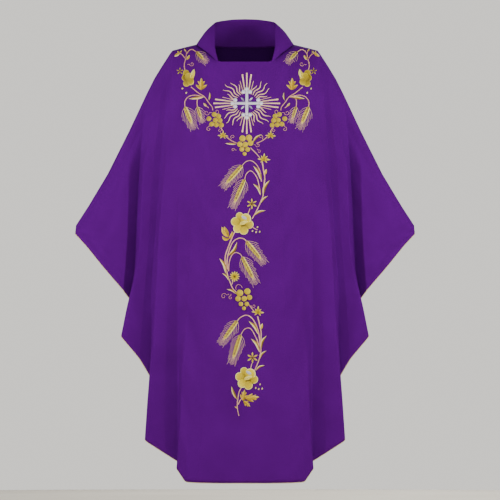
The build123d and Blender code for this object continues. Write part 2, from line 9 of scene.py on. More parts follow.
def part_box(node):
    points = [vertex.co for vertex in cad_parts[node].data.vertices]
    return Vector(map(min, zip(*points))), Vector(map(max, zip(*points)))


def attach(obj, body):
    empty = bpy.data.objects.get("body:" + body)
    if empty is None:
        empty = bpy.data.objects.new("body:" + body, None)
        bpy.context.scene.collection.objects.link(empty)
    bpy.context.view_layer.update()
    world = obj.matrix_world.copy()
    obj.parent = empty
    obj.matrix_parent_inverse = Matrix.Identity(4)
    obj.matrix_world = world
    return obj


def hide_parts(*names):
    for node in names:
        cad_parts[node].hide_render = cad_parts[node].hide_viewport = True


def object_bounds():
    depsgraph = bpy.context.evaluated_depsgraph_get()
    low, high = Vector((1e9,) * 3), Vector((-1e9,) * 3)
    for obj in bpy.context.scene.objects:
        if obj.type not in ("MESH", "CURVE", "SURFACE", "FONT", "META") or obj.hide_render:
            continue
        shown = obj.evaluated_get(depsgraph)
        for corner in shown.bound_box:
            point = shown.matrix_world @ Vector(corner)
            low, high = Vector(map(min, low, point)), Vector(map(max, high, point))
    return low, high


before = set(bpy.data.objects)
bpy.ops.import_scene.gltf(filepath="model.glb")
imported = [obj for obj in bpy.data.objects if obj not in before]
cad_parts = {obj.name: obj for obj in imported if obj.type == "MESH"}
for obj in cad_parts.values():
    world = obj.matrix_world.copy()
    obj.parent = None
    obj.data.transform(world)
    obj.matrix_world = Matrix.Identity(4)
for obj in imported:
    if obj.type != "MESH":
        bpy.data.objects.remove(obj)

CAD_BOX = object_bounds()
MM = 0.001
EVERYWHERE = (slice(None), slice(None))

# ---- the cloth, millimetres; the front faces -Y and the shoulders carry the garment at z = 0 ----
# Columns of one front half from the centre to the sleeve tip.  Each one has the drop over which it rolls
# off the shoulder, and points (x, depth in front of the shoulder seam, z) from the seam to the hem.
COLUMNS = {
    "centre": (0, ((0, 105, -44), (0, 130, -200), (0, 145, -400), (0, 158, -700), (0, 180, -1221))),
    "inner": (0, ((42, 104, -44), (50, 130, -200), (56, 145, -400), (60, 158, -700), (68, 180, -1221))),
    "neck_corner": (0, ((76, 100, -44), (90, 126, -200), (100, 141, -400), (110, 154, -700),
        (128, 176, -1220))),
    "collar_seam": (60, ((106, 60, -19), (108, 101, -80), (110, 123, -200), (120, 137, -400),
        (132, 148, -700), (166, 168, -1218))),
    "crest_1": (180, ((137, 0, 6), (132, 114, -150), (146, 128, -375), (154, 136, -543),
        (164, 144, -767), (174, 149, -879), (182, 152, -1050), (192, 154, -1180))),
    "valley_1": (180, ((158, 0, 1), (168, 103, -150), (183, 109, -375), (188, 110, -543),
        (187, 111, -767), (186, 111, -879), (185, 112, -1050), (186, 112, -1163))),
    "panel_2": (170, ((182, 0, -5), (188, 90, -160), (204, 100, -375), (214, 107, -600),
        (220, 112, -850), (226, 116, -1138))),
    "crest_2": (160, ((204, 0, -11), (206, 76, -179), (224, 90, -347), (242, 99, -543), (250, 104, -700),
        (260, 108, -879), (268, 109, -934), (281, 110, -1103))),
    "valley_2": (150, ((211, 0, -20), (223, 54, -179), (238, 60, -347), (251, 63, -543), (262, 66, -700),
        (260, 66, -850), (255, 66, -942))),
    "panel_3": (130, ((233, 0, -54), (243, 52, -200), (259, 59, -347), (270, 64, -543), (283, 69, -700),
        (295, 73, -875))),
    "crest_3": (120, ((255, 0, -90), (271, 43, -263), (286, 54, -347), (294, 61, -543), (309, 66, -655),
        (327, 70, -714), (348, 74, -812))),
    "valley_3": (90, ((277, 0, -134), (289, 18, -263), (298, 20, -400), (305, 22, -543),
        (314, 24, -719))),
    "crest_4": (60, ((325, 0, -236), (326, 30, -350), (331, 40, -543), (341, 44, -684))),
    "sleeve": (40, ((386, 0, -358), (386, 22, -430), (392, 28, -540), (398, 32, -618))),
    "outer_sleeve": (25, ((440, 0, -448), (442, 12, -490), (445, 15, -560))),
    "tip": (12, ((475, 0, -502), (477, 8, -525))),
}
BACK_NECK = ((0, 78, 0), (42, 76, 0), (76, 68, 2), (106, 45, 4))
BACK_DEPTH_SCALE = 0.85
BACK_HEM_RISE = 5.0
NECK_DROP = 60.0
NECK_COLUMNS = 4  # columns on each side of the centre that start at the neckline
BACKING_COLUMNS = 2
TAPE_COLUMNS = (4, 8)
COLLAR_COLUMNS = ("neck_corner", "collar_seam", "crest_1")
ROWS = 190
ROW_EASE = 1.8  # packs the rows closer together over the shoulder
COLUMN_STEP = 5.0
FOLD_ROUNDING_TOP = 16.0  # how far a fold's curve spreads, near the shoulder and at the hem
FOLD_ROUNDING_HEM = 6.0
FOLD_SOFT = (0.62, 0.5)  # share of the length where the wide rounding ends, and over which it fades
SEAM_HOLD = 0.06  # share of the length, from the shoulder, over which the rounding sets in
HEM_ROUNDING = 13.0
DRAPE_RIPPLE = 0.6
RIPPLE_WAVES = ((70, 420, 0, 1.0), (34, 200, 9, 0.5))  # width, height, seed shift and size
RIPPLE_HOLD = (0.22, 12)  # share of the length and number of columns over which the ripple sets in

COLLAR_TOP = ((76, -101, -41), (90, -68, 10), (93, 0, 66), (80, 34, 72), (62, 52, 75), (35, 61, 78),
              (0, 64, 79))
COLLAR_ROWS = 26
COLLAR_ROLL = 8.0
COLLAR_ROLL_START = 0.5  # share of the collar's height at which its edge starts to roll in
COLLAR_BULGE = 1.5
COLLAR_STEPS = 24  # columns between two points of its seam

CLOTH_THICKNESS = 1.2
LINING_DEPTH = 2.4
LINING_THICKNESS = 0.6
STAY_DEPTH = 1.5
STAY_THICKNESS = 0.4
LINING_TUCK = 0.2  # the lining lies this far under its facing
BACKING_TOP = 30.0
FACING_WIDTH = 60.0
HEM_ALLOWANCE = 26.0
PIPING_RADIUS = 1.3
PIPING_SIDES = 6
TAPE_WIDTH = 10.0
TAPE_ROWS = 5
TAPE_DIP = 0.5
LABEL_GRID = (12, 8)
LABEL_THICKNESS = 0.5
LABEL_BOW = 0.4

# ---- embroidery, (x, z) from its own axis, millimetres ----
EMBROIDERY_X = 5.0
THREAD_HEIGHT = 1.3
AWN = 0.85
MAIN_STEM = 3.6
THIN_STEM = 2.8
SUN = (0, -161)
SUN_CORE = 30.0
SUN_REACH = (93.0, 85.5)  # sideways and up

YOKE_STEMS = (
    ((-173, -67), (-175, -52), (-171, -35), (-169, -20), (-172, -9)),
    ((-173, -34), (-181, -23), (-189, -19)),
    ((-169, -21), (-161, -11), (-152, -9), (-141, -16)),
    ((-156, -115), (-135, -132), (-118, -143), (-106, -160), (-97, -171), (-95, -181)),
    ((-120, -143), (-145, -138), (-163, -142), (-173, -155), (-173, -171)),
    ((-122, -143), (-134, -145), (-139, -155), (-138, -171)),
    ((-118, -165), (-106, -174)),
    ((-72, -230), (-65, -241)),
    ((-57, -255), (-44, -265), (-27, -273)),
)
YOKE_EARS = (
    ((-173, -171), (-156, -212), 1.0), ((-138, -171), (-129, -199), 0.75), ((-141, -16), (-124, -34), 0.8),
)
YOKE_LEAVES = (
    ((-120, -143), (-162, -148), 0), ((-106, -153), (-104, -130), -2),
)
YOKE_LOBED_LEAF = ((-127, -124), (-127, -89), 1.0)
YOKE_BUDS = (((-188, -18), (-203, -28)), ((-188, -18), (-182, -12)), ((-189, -19), (-195, -13)),
             ((-112, -170), (-121, -160)), ((-170, -14), (-176, -6)), ((-168, -38), (-160, -25)))
YOKE_GRAPES = ((-106, -204), (-91, -192), (-79, -197), (-88, -208), (-75, -209), (-98, -219), (-85, -221),
               (-71, -222))
YOKE_GRAPE = 7.0
YOKE_BERRIES = ((-180, -119), (-169, -131))
YOKE_FLOWER = (-187, -70, 10)
YOKE_BLOSSOM = (-162, -90, 25)
YOKE_VINE_LEAF = (-66.5, -252, 15)
# Each tendril: (x, z, size, first angle, hand).
YOKE_TENDRILS = (
    (-84, -184, 8, 3.6, 1), (-112, -187, 8, 0.0, -1), (-106, -233, 7, 1.5, 1), (-76, -236, 6, 1.5, -1),
    (-39, -255, 6.5, 4.0, -1), (-154, -50, 7, 3.3, 1),
)

CENTRE_STEMS = (
    ((11, -286), (25, -300), (37, -314)),
    ((43, -325), (47, -350), (50, -368), (48, -390), (45, -420), (37, -440), (28, -460), (15, -484)),
    ((41, -380), (38, -355), (29, -335), (14, -322), (-2, -324), (-13, -335)),
    ((38, -416), (35, -395), (28, -368), (12, -350), (-1, -358), (-6, -374)),
    ((9, -455), (2, -474)),
    ((10, -500), (20, -510), (30, -515)),
    ((-28, -515), (-38, -528), (-44, -543)),
    ((-31, -514), (-42, -538), (-53, -566), (-60, -588), (-60, -610), (-55, -636), (-47, -660), (-39, -679),
     (-28, -690)),
    ((-54, -625), (-55, -600), (-49, -572), (-38, -548), (-22, -538), (-8, -540), (-1, -547)),
    ((-51, -630), (-49, -606), (-42, -586), (-31, -578), (-19, -582), (-13, -591)),
    ((-38, -656), (-42, -668)),
    ((6, -724), (20, -742)),
    ((30, -756), (36, -781), (40, -804), (39, -832), (39, -854), (35, -874), (28, -893), (20, -912)),
    ((38, -840), (35, -812), (29, -788), (17, -764), (1, -753), (-16, -758), (-27, -769)),
    ((36, -856), (32, -832), (24, -812), (10, -790), (-6, -792), (-17, -808)),
    ((14, -888), (10, -905)),
    ((-10, -948), (-21, -966), (-26, -994), (-26, -1014), (-22, -1034)),
    ((-24, -1002), (-18, -990), (-8, -980)),
)
CENTRE_EARS = (
    ((-13, -335), (-53, -380), 1.0), ((-6, -374), (-32, -433), 1.0), ((-1, -547), (36, -592), 1.0),
    ((-13, -591), (16, -646), 1.0), ((-27, -769), (-61, -816), 1.0), ((-17, -808), (-36, -867), 1.0),
)
CENTRE_LEAVES = (
    ((-30, -275), (-60, -273), 0), ((17, -272), (42, -248), 4), ((41, -377), (18, -336), -5),
    ((39, -418), (18, -386), -5), ((46, -418), (64, -376), 5), ((40, -440), (59, -420), 3),
    ((22, -474), (52, -461), 4), ((-52, -588), (-27, -549), -5), ((-57, -638), (-76, -594), -5),
    ((-49, -657), (-69, -636), -4), ((-28, -694), (-57, -680), -4), ((34, -808), (5, -769), -5),
    ((36, -856), (12, -818), -5), ((40, -848), (55, -810), 5), ((37, -874), (55, -852), 4),
    ((26, -907), (50, -893), 4), ((-26.6, -988), (-43, -951), 2),
)
CENTRE_WIDE_LEAVES = (
    ((-51, -535), (-70, -506), 2), ((-51, -535), (-63, -505), 1), ((-49, -540), (-69, -532), 5),
    ((-50, -540), (-40, -519), -3),
)
CENTRE_LOBED_LEAVES = (
    ((-10, -992), (-6, -960), 0.7), ((-4, -986), (35, -981), 0.6), ((-10, -992), (10, -1008), 0.6),
)
CENTRE_BUDS = (((49, -362), (55, -345)), ((38, -794), (44, -776)), ((-26, -1012), (-34, -1008)))
CENTRE_GRAPES = (
    (-12, -259.5, 9.0), (6, -257.6, 9.0), (-19.6, -275.5, 7.7), (-4.7, -276.6, 8.1), (10.3, -272.3, 8.1),
    (-13.6, -289.4, 6.9), (2.2, -289.9, 6.9), (-6.3, -302.3, 5.6), (-19.4, -691.2, 9.7),
    (1.4, -686.6, 8.9), (-24.4, -707, 7.8), (-7.3, -707, 7.8), (7.5, -703.3, 7.6), (-16.3, -721.8, 6.5),
    (0, -721.8, 6.5), (-7.9, -733.9, 5.6),
)
CENTRE_BERRIES = (
    (30, -507), (16, -518), (26, -521), (36, -520), (37, -946), (25, -956), (33, -959), (43, -958),
)
ROSES = ((-12, -497), (0.6, -929.6))
# Each petal: place from the rose's middle, radius, tone.
ROSE_PETALS = ((19, -2.5, 12, 0.4), (-20, 5.0, 12.5, 0.5), (-8, 21, 10.5, 0.46), (-13.5, -13.8, 12.5, 0.66),
               (3.6, -19, 12.5, 0.5), (9, 13, 15, 0.6))
# Each petal: place and radius as shares of the blossom's radius, squash, tone.
BLOSSOM_PETALS = (
    (-0.30, 0.55, 0.40, 0.9, 0.26), (-0.40, 0.05, 0.40, 1.0, 0.08), (-0.25, -0.55, 0.42, 0.9, 0.2),
    (0.18, -0.40, 0.40, 1.0, 0.28), (0.05, 0.12, 0.46, 1.1, 0.34),
)
VINE_LEAVES = ((48, -318, 18), (31, -745, 17.7))
FLOWERS = ((14, -442, 15), (16, -871.6, 16))
DAISY = (-34, -645, 15)
TENDRIL = 1.3
CENTRE_TENDRILS = (
    (30.7, -277.7, 6.5, 3.1, 1), (34, -296, 5.2, 2.2, -1), (-38, -291.6, 5.5, 0.0, 1),
    (-64, -700, 9, 0.4, 1), (-45, -704, 6, 1.5, 1), (19, -727, 6, 3.2, 1),
)
ARCH_TENDRIL = ((-29.6, -682), (-30.5, -673.6), (-24, -667), (-16.6, -670), (-12.5, -677))

# ---- stitches ----
GRAIN_PITCH = 5.2  # between the pairs of grains along an ear
GRAIN_LENGTH = 9.2
GRAIN_LEAN = 0.5  # radians, off the ear's line
AWN_PITCH = 7.0
AWN_REACH = 31.0
AWN_STITCH = {"width": AWN, "tone": 0.5, "taper": 0.8, "height": 0.45}
# Rays of one quarter of the sunburst: rods (angle, reach), fine rays (angle at foot and head), flames.
RODS = ((-0.14, 0.96), (0, 1.0), (0.14, 0.96))
FINE_RAYS = ((-0.29, -0.27), (0.29, 0.27))
FINE_REACH = 0.76
FLAMES = ((0.42, 0.66), (0.59, 0.84), (0.785, 0.90), (0.98, 0.84), (1.15, 0.66))
FLAME_SWING = 3.4
FLAME_WAVE = 6.2
FLAME_STEPS = 25
CROSS = (34.0, 4.4, 6.0)  # length of an arm, its half width, radius of a bud
CURL_STEPS = 12
CURL_TURN = 0.62
CURL_SHRINK = 0.075
ROSE_CUP = 20
PETAL_LIFT = 0.35  # each petal lies this much over the one before
# Folded petals in a rose's cup: start and end from its middle, width as a share of the length, tone. The
# second, palest fold is a painted highlight.
ROSE_FOLDS = (((-9, -4), (15, 8), 0.5, 0.8), ((-1, 1), (17, 6), 0.3, 1.1), ((-5, -7), (11, -5), 0.24, 0.0))
ROSE_HEART = (5, 16, 8.5)
# Lobes of a vine leaf: angle from its middle, reach.
VINE_LOBES = (
    (0.0, 1.0), (0.75, 0.78), (-0.75, 0.78), (1.55, 1.0), (-1.55, 1.0), (2.35, 0.72), (-2.35, 0.72),
)

# ---- scene ----
VIEW_WIDTH = 1.400  # of the world, across the picture, at the garment
VIEW_CENTRE = (0.014, -0.571)
CAMERA_DISTANCE = 25.0
GARMENT_PLANE_Y = -0.08
SENSOR = 36.0
# Lights: name, place, diameter, watts, colour.
LIGHTS = (
    ("left", (-2.2, -1.3, 0.1), 0.9, 46, (1, 0.99, 0.97)),
    ("right", (2.2, -1.3, 0.1), 0.9, 46, (1, 0.99, 0.97)),
    ("front", (0, -4.2, 0.9), 2.4, 64, (1, 1, 1)),
    ("back", (0.8, 3.0, 0.8), 2.0, 90, (1, 1, 1)),
)
FLOOR_GAP = 0.10
FLOOR_RADIUS = 3.0
FLOOR_SIDES = 96
HORIZON = (1.0, 0.975, 0.92, 1)
CEILING = (0.2, 0.197, 0.19, 1)
HORIZON_TOP = (0.10, 0.22)  # sine of the elevation where the pale horizon starts and ends fading


# ---------------------------------------------------------------- shapes of the cloth
def hermite(at, places, values):
    """Smooth curve through values at falling places, flat where the values turn."""
    places, values = np.asarray(places, float), np.asarray(values, float)
    slopes = np.diff(values) / np.diff(places)
    tangents = np.zeros(len(values))
    tangents[0], tangents[-1] = slopes[0], slopes[-1]
    for i in range(1, len(values) - 1):
        if slopes[i - 1] * slopes[i] > 0:
            tangents[i] = 2 * slopes[i - 1] * slopes[i] / (slopes[i - 1] + slopes[i])
    index = np.clip(np.searchsorted(-places, -np.asarray(at)) - 1, 0, len(values) - 2)
    width = places[index + 1] - places[index]
    t = (at - places[index]) / width
    return (
        (2 * t**3 - 3 * t**2 + 1) * values[index]
        + (t**3 - 2 * t**2 + t) * width * tangents[index]
        + (3 * t**2 - 2 * t**3) * values[index + 1]
        + (t**3 - t**2) * width * tangents[index + 1]
    )


def hang_column(points, drop, shares):
    """A column of cloth: it rolls off the shoulder over drop, then hangs through its points."""
    xs, depths, zs = (np.array(part, float) for part in zip(*points))
    z = zs[0] + (zs[-1] - zs[0]) * shares
    depth = hermite(z, zs, depths)
    if drop:
        hang = hermite(np.array([max(zs[0] - drop, zs[-1])]), zs, depths)[0]
        fallen = np.minimum((zs[0] - z) / drop, 1.0)
        rolled = depths[0] + (hang - depths[0]) * np.sqrt(1 - (1 - fallen) ** 2)
        depth = np.where(fallen < 1, rolled, np.maximum(depth, 0))
    return np.stack([hermite(z, zs, xs), -depth, z], axis=1)


def spread_columns(columns):
    """Finely spaced columns between the named ones, and the index of each named one."""
    shares = np.linspace(0, 1, ROWS) ** ROW_EASE
    named = [hang_column(points, drop, shares) for drop, points in columns]
    fine, places = [], []
    for left, right in zip(named, named[1:]):
        gap = np.linalg.norm(left - right, axis=1).max()
        pieces = max(3, math.ceil(gap / COLUMN_STEP))
        places.append(len(fine))
        fine += [left + (right - left) * n / pieces for n in range(pieces)]
    places.append(len(fine))
    fine.append(named[-1])
    return np.array(fine), places


def round_folds(grid):
    """Rounds the folds across the cloth: wide and soft under the shoulder, tighter towards the hem."""
    def blurred(spread):
        work = grid.copy()
        for _ in range(int((spread / COLUMN_STEP) ** 2)):
            work[1:-1] = 0.25 * work[:-2] + 0.5 * work[1:-1] + 0.25 * work[2:]
        return work

    soft, sharp = blurred(FOLD_ROUNDING_TOP), blurred(FOLD_ROUNDING_HEM)
    level = np.linspace(0, 1, grid.shape[1])[None, :, None]
    blend = np.clip((FOLD_SOFT[0] - level) / FOLD_SOFT[1], 0, 1)
    rounded = sharp + (soft - sharp) * blend * blend * (3 - 2 * blend)
    rounded[:, 0] = grid[:, 0]
    rounded[:, :, 2] += (blurred(HEM_ROUNDING)[:, :, 2] - rounded[:, :, 2]) * level[:, :, 0] ** 2
    return grid + (rounded - grid) * np.clip(level / SEAM_HOLD, 0, 1)


def ripple(grid, seed):
    """Adds the slight uneven swells of hanging cloth, none along the seams."""
    hold_rows, hold_columns = RIPPLE_HOLD
    along = np.linspace(0, 1, grid.shape[1])
    for i in range(grid.shape[0]):
        side = min(i, grid.shape[0] - 1 - i) / hold_columns
        for k in range(grid.shape[1]):
            x, _, z = grid[i, k]
            swell = sum(size * noise.noise(Vector((x / wide, seed + shift, z / high)))
                        for wide, high, shift, size in RIPPLE_WAVES)
            hold = min(1, along[k] / hold_rows) * min(1, side)
            grid[i, k, 1] += DRAPE_RIPPLE * swell * hold


def mirror_half(half):
    other = half[:0:-1].copy()
    other[:, :, 0] *= -1
    return np.concatenate([other, half])


def panel_grid(columns, side):
    half, places = spread_columns(columns)
    both = round_folds(mirror_half(half))
    both[:, :, 1] *= side
    ripple(both, 3.0 + side)
    middle = len(half) - 1
    return both, [middle + place for place in places]


def back_columns():
    columns = []
    for number, (drop, points) in enumerate(COLUMNS.values()):
        if number < len(BACK_NECK):
            drop, points = NECK_DROP, (BACK_NECK[number],) + points[1:]
        points = tuple((x, depth * BACK_DEPTH_SCALE, z) for x, depth, z in points)
        x, depth, z = points[-1]
        columns.append((drop, points[:-1] + ((x, depth, z + BACK_HEM_RISE),)))
    return columns


def outward_normals(grid, side):
    across = np.gradient(grid, axis=0)
    along = np.gradient(grid, axis=1)
    normals = np.cross(along, across) * side
    flat = np.abs(grid[:, :, 1]) < 1e-6
    normals[flat, 1] = 0
    return normals / np.maximum(np.linalg.norm(normals, axis=2, keepdims=True), 1e-9)


def fabric_lengths(grid):
    """Flat position of each point of the cloth, along its weave, in millimetres."""
    across = np.linalg.norm(np.diff(grid, axis=0, prepend=grid[:1]), axis=2).cumsum(axis=0)
    along = np.linalg.norm(np.diff(grid, axis=1, prepend=grid[:, :1]), axis=2).cumsum(axis=1)
    across -= across[len(grid) // 2]
    return np.stack([across, along], axis=2)


# ---------------------------------------------------------------- mesh pieces
def add_piece(name, vertices, faces, material, nodes=(), uvs=None, tones=None):
    """Mesh piece in metres from points in millimetres; it rides on the garment's one body."""
    mesh = bpy.data.meshes.new(name)
    mesh.from_pydata([tuple(MM * float(c) for c in v) for v in vertices], [], faces)
    mesh.update()
    if uvs is not None:
        layer = mesh.uv_layers.new(name="weave")
        flat = np.empty((len(mesh.loops), 2))
        corners = np.empty(len(mesh.loops), dtype=int)
        mesh.loops.foreach_get("vertex_index", corners)
        flat[:] = np.asarray(uvs)[corners] * MM
        layer.data.foreach_set("uv", flat.ravel())
    if tones is not None:
        attribute = mesh.attributes.new("tone", "FLOAT", "POINT")
        attribute.data.foreach_set("value", np.asarray(tones, dtype=float))
    mesh.shade_smooth()
    piece = bpy.data.objects.new(name, mesh)
    bpy.context.collection.objects.link(piece)
    mesh.materials.append(material)
    if nodes:
        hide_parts(*nodes)
    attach(piece, "root")
    return piece


def grid_faces(columns, rows, flip):
    faces = []
    for i in range(columns - 1):
        for k in range(rows - 1):
            a, b, c, d = i * rows + k, (i + 1) * rows + k, (i + 1) * rows + k + 1, i * rows + k + 1
            faces.append((d, c, b, a) if flip else (a, b, c, d))
    return faces


def cloth_piece(name, node, grid, normals, depth, thickness, slot, material=None,
                keep=EVERYWHERE):
    """Sheet of cloth that follows the garment at a depth under its face; keep chooses (columns, rows)."""
    points, lengths, faced = (grid - normals * depth)[keep], fabric_lengths(grid)[keep], normals[keep]
    count, height = points.shape[:2]
    middle = (count // 2, height // 2)
    edge_1 = points[middle[0] + 1, middle[1]] - points[middle]
    edge_2 = points[middle[0], middle[1] + 1] - points[middle]
    faces = grid_faces(count, height, np.dot(np.cross(edge_1, edge_2), faced[middle]) < 0)
    piece = add_piece(name, points.reshape(-1, 3), faces, MATERIALS[material or slot], (node,),
                      lengths.reshape(-1, 2))
    solidify = piece.modifiers.new("thickness", "SOLIDIFY")
    solidify.thickness = thickness * MM
    solidify.offset = -1


# ---------------------------------------------------------------- materials
THREAD_PITCH = 0.0005


class Nodes:
    """Short way to write a node material."""

    def __init__(self, name):
        self.material = bpy.data.materials.new(name)
        self.material.use_nodes = True
        self.tree = self.material.node_tree
        self.shader = self.tree.nodes["Principled BSDF"]

    def add(self, kind, **settings):
        node = self.tree.nodes.new(kind)
        for key, value in settings.items():
            if hasattr(node, key):
                setattr(node, key, value)
            else:
                node.inputs[key.replace("_", " ").title()].default_value = value
        return node

    def link(self, source, target):
        self.tree.links.new(source, target)

    def set(self, **values):
        for key, value in values.items():
            self.shader.inputs[key.replace("_", " ")].default_value = value

    def fill(self, sockets, values):
        for socket, value in zip(sockets, values):
            if hasattr(value, "node"):
                self.link(value, socket)
            else:
                socket.default_value = value

    def mix(self, factor, first, second):
        node = self.add("ShaderNodeMix", data_type="RGBA")
        self.fill((node.inputs[0], node.inputs[6], node.inputs[7]), (factor, first, second))
        return node.outputs[2]

    def noise(self, coordinates, scale, detail=2.0):
        node = self.add("ShaderNodeTexNoise", scale=scale, detail=detail)
        self.link(coordinates, node.inputs["Vector"])
        return node.outputs["Fac"]

    def bands(self, coordinates, pitch, direction):
        """Even ridges a pitch apart in metres."""
        node = self.add("ShaderNodeTexWave", scale=0.314 / pitch, distortion=0.6)
        node.bands_direction = direction
        node.inputs["Detail"].default_value = 1.0
        self.link(coordinates, node.inputs["Vector"])
        return node.outputs["Fac"]

    def math(self, operation, first, second):
        node = self.add("ShaderNodeMath", operation=operation)
        self.fill(node.inputs, (first, second))
        return node.outputs[0]

    def bump(self, height, strength, distance):
        node = self.add("ShaderNodeBump", strength=strength, distance=distance)
        self.link(height, node.inputs["Height"])
        self.link(node.outputs["Normal"], self.shader.inputs["Normal"])

    def ramp(self, factor, low, high, start, end):
        node = self.add("ShaderNodeValToRGB")
        first, last = node.color_ramp.elements
        first.position, first.color = start, low
        last.position, last.color = end, high
        self.link(factor, node.inputs["Fac"])
        return node.outputs["Color"]


def rgb(red, green, blue):
    """Linear colour from display values of 0 to 255."""
    shares = (red / 255, green / 255, blue / 255)
    return tuple(c / 12.92 if c < 0.04 else ((c + 0.055) / 1.055) ** 2.4 for c in shares) + (1,)


def woven(name, deep, bright, pitch=0.0009, sheen=0.03, roughness=0.8, strength=0.3, twill=True):
    """Woven cloth: fine diagonal ribs, slubs, a slight unevenness of dye, and a soft sheen."""
    n = Nodes(name)
    uv = n.add("ShaderNodeUVMap", uv_map="weave").outputs[0]
    dye = n.noise(uv, 9.0, 2.0)
    slub = n.noise(uv, 420.0, 2.0)
    threads = n.bands(uv, pitch, "DIAGONAL" if twill else "X")
    cross_threads = n.bands(uv, pitch * 1.3, "Y")
    weave = n.math("ADD", threads, n.math("MULTIPLY", cross_threads, 0.5))
    uneven = n.math("ADD", n.math("MULTIPLY", dye, 0.3), n.math("MULTIPLY", slub, 0.7))
    colour = n.ramp(uneven, deep, bright, 0.3, 0.7)
    # Painted shade: a darker line runs along each rib of the weave, for the shade in its grooves.
    shade = n.mix(n.math("MULTIPLY", threads, 0.22), colour, tuple(c * 0.6 for c in deep[:3]) + (1,))
    n.link(shade, n.shader.inputs["Base Color"])
    n.bump(n.math("ADD", weave, n.math("MULTIPLY", slub, 0.8)), strength, 0.0002)
    n.set(Roughness=roughness, Sheen_Weight=sheen, Sheen_Roughness=0.5, Specular_IOR_Level=0.015)
    n.shader.inputs["Sheen Tint"].default_value = bright
    n.shader.inputs["Specular Tint"].default_value = bright
    return n.material


def threaded(name, dark, middle, light, metallic=0.15, roughness=0.5):
    """Satin stitch: parallel threads side by side, with tone from thread to thread and patch to patch; the
    gaps between threads are darker as painted shade, and the tone also carries painted light and shade of
    the patches.
    """
    n = Nodes(name)
    uv = n.add("ShaderNodeUVMap", uv_map="weave").outputs[0]
    tone = n.add("ShaderNodeAttribute", attribute_name="tone").outputs["Fac"]
    threads = n.bands(uv, THREAD_PITCH, "Y")
    strands = n.noise(uv, 700.0, 2.0)
    streaks = n.math("MULTIPLY", n.math("SUBTRACT", strands, 0.4), 0.35)
    lit = n.math("ADD", n.math("MULTIPLY", tone, 0.85), streaks)
    ramp = n.add("ShaderNodeValToRGB")
    stops = ramp.color_ramp.elements
    stops[0].position, stops[0].color = 0.05, dark
    stops[1].position, stops[1].color = 0.95, light
    stops.new(0.6).color = middle
    n.link(lit, ramp.inputs["Fac"])
    # Painted shade: the gaps between the threads are darker.
    gap = n.math("MULTIPLY", n.math("SUBTRACT", 1.0, threads), 0.3)
    shade = n.mix(gap, ramp.outputs["Color"], tuple(c * 0.5 for c in dark[:3]) + (1,))
    n.link(shade, n.shader.inputs["Base Color"])
    n.bump(n.math("ADD", threads, n.math("MULTIPLY", strands, 0.5)), 0.5, 0.0003)
    n.set(Metallic=metallic, Roughness=roughness, Specular_IOR_Level=0.35)
    return n.material


MATERIALS = {
    "purple_cloth": woven("purple_gabardine", rgb(68, 0, 96), rgb(88, 0, 124)),
    "lining_cloth": woven("purple_lining", rgb(46, 4, 70), rgb(62, 8, 92), pitch=0.0005, sheen=0.05,
                          roughness=0.55, strength=0.15, twill=False),
    "hem_piping": woven("pale_gold_piping", rgb(196, 170, 112), rgb(236, 214, 160), pitch=0.0008),
    "stay_cloth": woven("white_stay_cloth", rgb(196, 190, 180), rgb(224, 220, 210), pitch=0.0012,
                        twill=False),
    "label_cloth": woven("damask_label", rgb(206, 196, 176), rgb(232, 224, 208), pitch=0.0006),
    "silver_thread": threaded("silver_thread", rgb(120, 112, 150), rgb(206, 206, 222),
                              rgb(255, 255, 255), metallic=0.3, roughness=0.4),
    "pale_thread": threaded("rose_gold_thread", rgb(176, 96, 70), rgb(240, 184, 156), rgb(255, 230, 210)),
    "lemon_gold_thread": threaded("lemon_gold_thread", rgb(96, 72, 0), rgb(232, 204, 0),
                                  rgb(255, 246, 150)),
    "pale_gold_thread": threaded("pale_gold_thread", rgb(200, 126, 76), rgb(255, 218, 172),
                                 rgb(255, 242, 220)),
    "gold_thread": threaded("gold_thread", rgb(104, 72, 0), rgb(224, 184, 10), rgb(255, 240, 170)),
}


# ---------------------------------------------------------------- the sewn pieces
FRONT, FRONT_PLACES = panel_grid(COLUMNS.values(), 1)
BACK, BACK_PLACES = panel_grid(back_columns(), -1)
FRONT_NORMALS = outward_normals(FRONT, 1)
BACK_NORMALS = outward_normals(BACK, -1)
for normals, sign in ((FRONT_NORMALS, -1), (BACK_NORMALS, 1)):
    if normals[len(normals) // 2, ROWS // 2, 1] * sign < 0:
        normals *= -1


def row_below(grid, column, fall):
    """First row of a column that lies a given fall under its top."""
    return int(np.argmax(grid[column, 0, 2] - grid[column, :, 2] >= fall))


def row_above_hem(grid, column, rise):
    return int(np.argmax(grid[column, :, 2] <= grid[column, -1, 2] + rise))


def sew_panels():
    for name, grid, normals, places in (
        ("front", FRONT, FRONT_NORMALS, FRONT_PLACES), ("back", BACK, BACK_NORMALS, BACK_PLACES)
    ):
        middle = len(grid) // 2
        reach = places[NECK_COLUMNS] - middle
        facing = (slice(middle - reach, middle + reach + 1),
                  slice(0, row_below(grid, middle, FACING_WIDTH) + 1))
        inside = (slice(None), slice(2, row_above_hem(grid, middle, HEM_ALLOWANCE)))
        cloth_piece(name + "_cloth", name + "_panel", grid, normals, 0, CLOTH_THICKNESS, "purple_cloth")
        cloth_piece(name + "_neck_facing_cloth", name + "_neck_facing", grid, normals, LINING_DEPTH,
                    LINING_THICKNESS, "lining_cloth", material="purple_cloth", keep=facing)
        cloth_piece(name + "_lining_cloth", name + "_lining", grid, normals, LINING_DEPTH + LINING_TUCK,
                    LINING_THICKNESS, "lining_cloth", keep=inside)
        hem_piping(name, grid, normals)
    middle = len(FRONT) // 2
    reach = FRONT_PLACES[BACKING_COLUMNS] - middle
    backed = (slice(middle - reach, middle + reach), slice(row_below(FRONT, middle, BACKING_TOP), -20))
    cloth_piece("embroidery_backing_cloth", "embroidery_backing", FRONT, FRONT_NORMALS, STAY_DEPTH,
                STAY_THICKNESS, "stay_cloth", keep=backed)


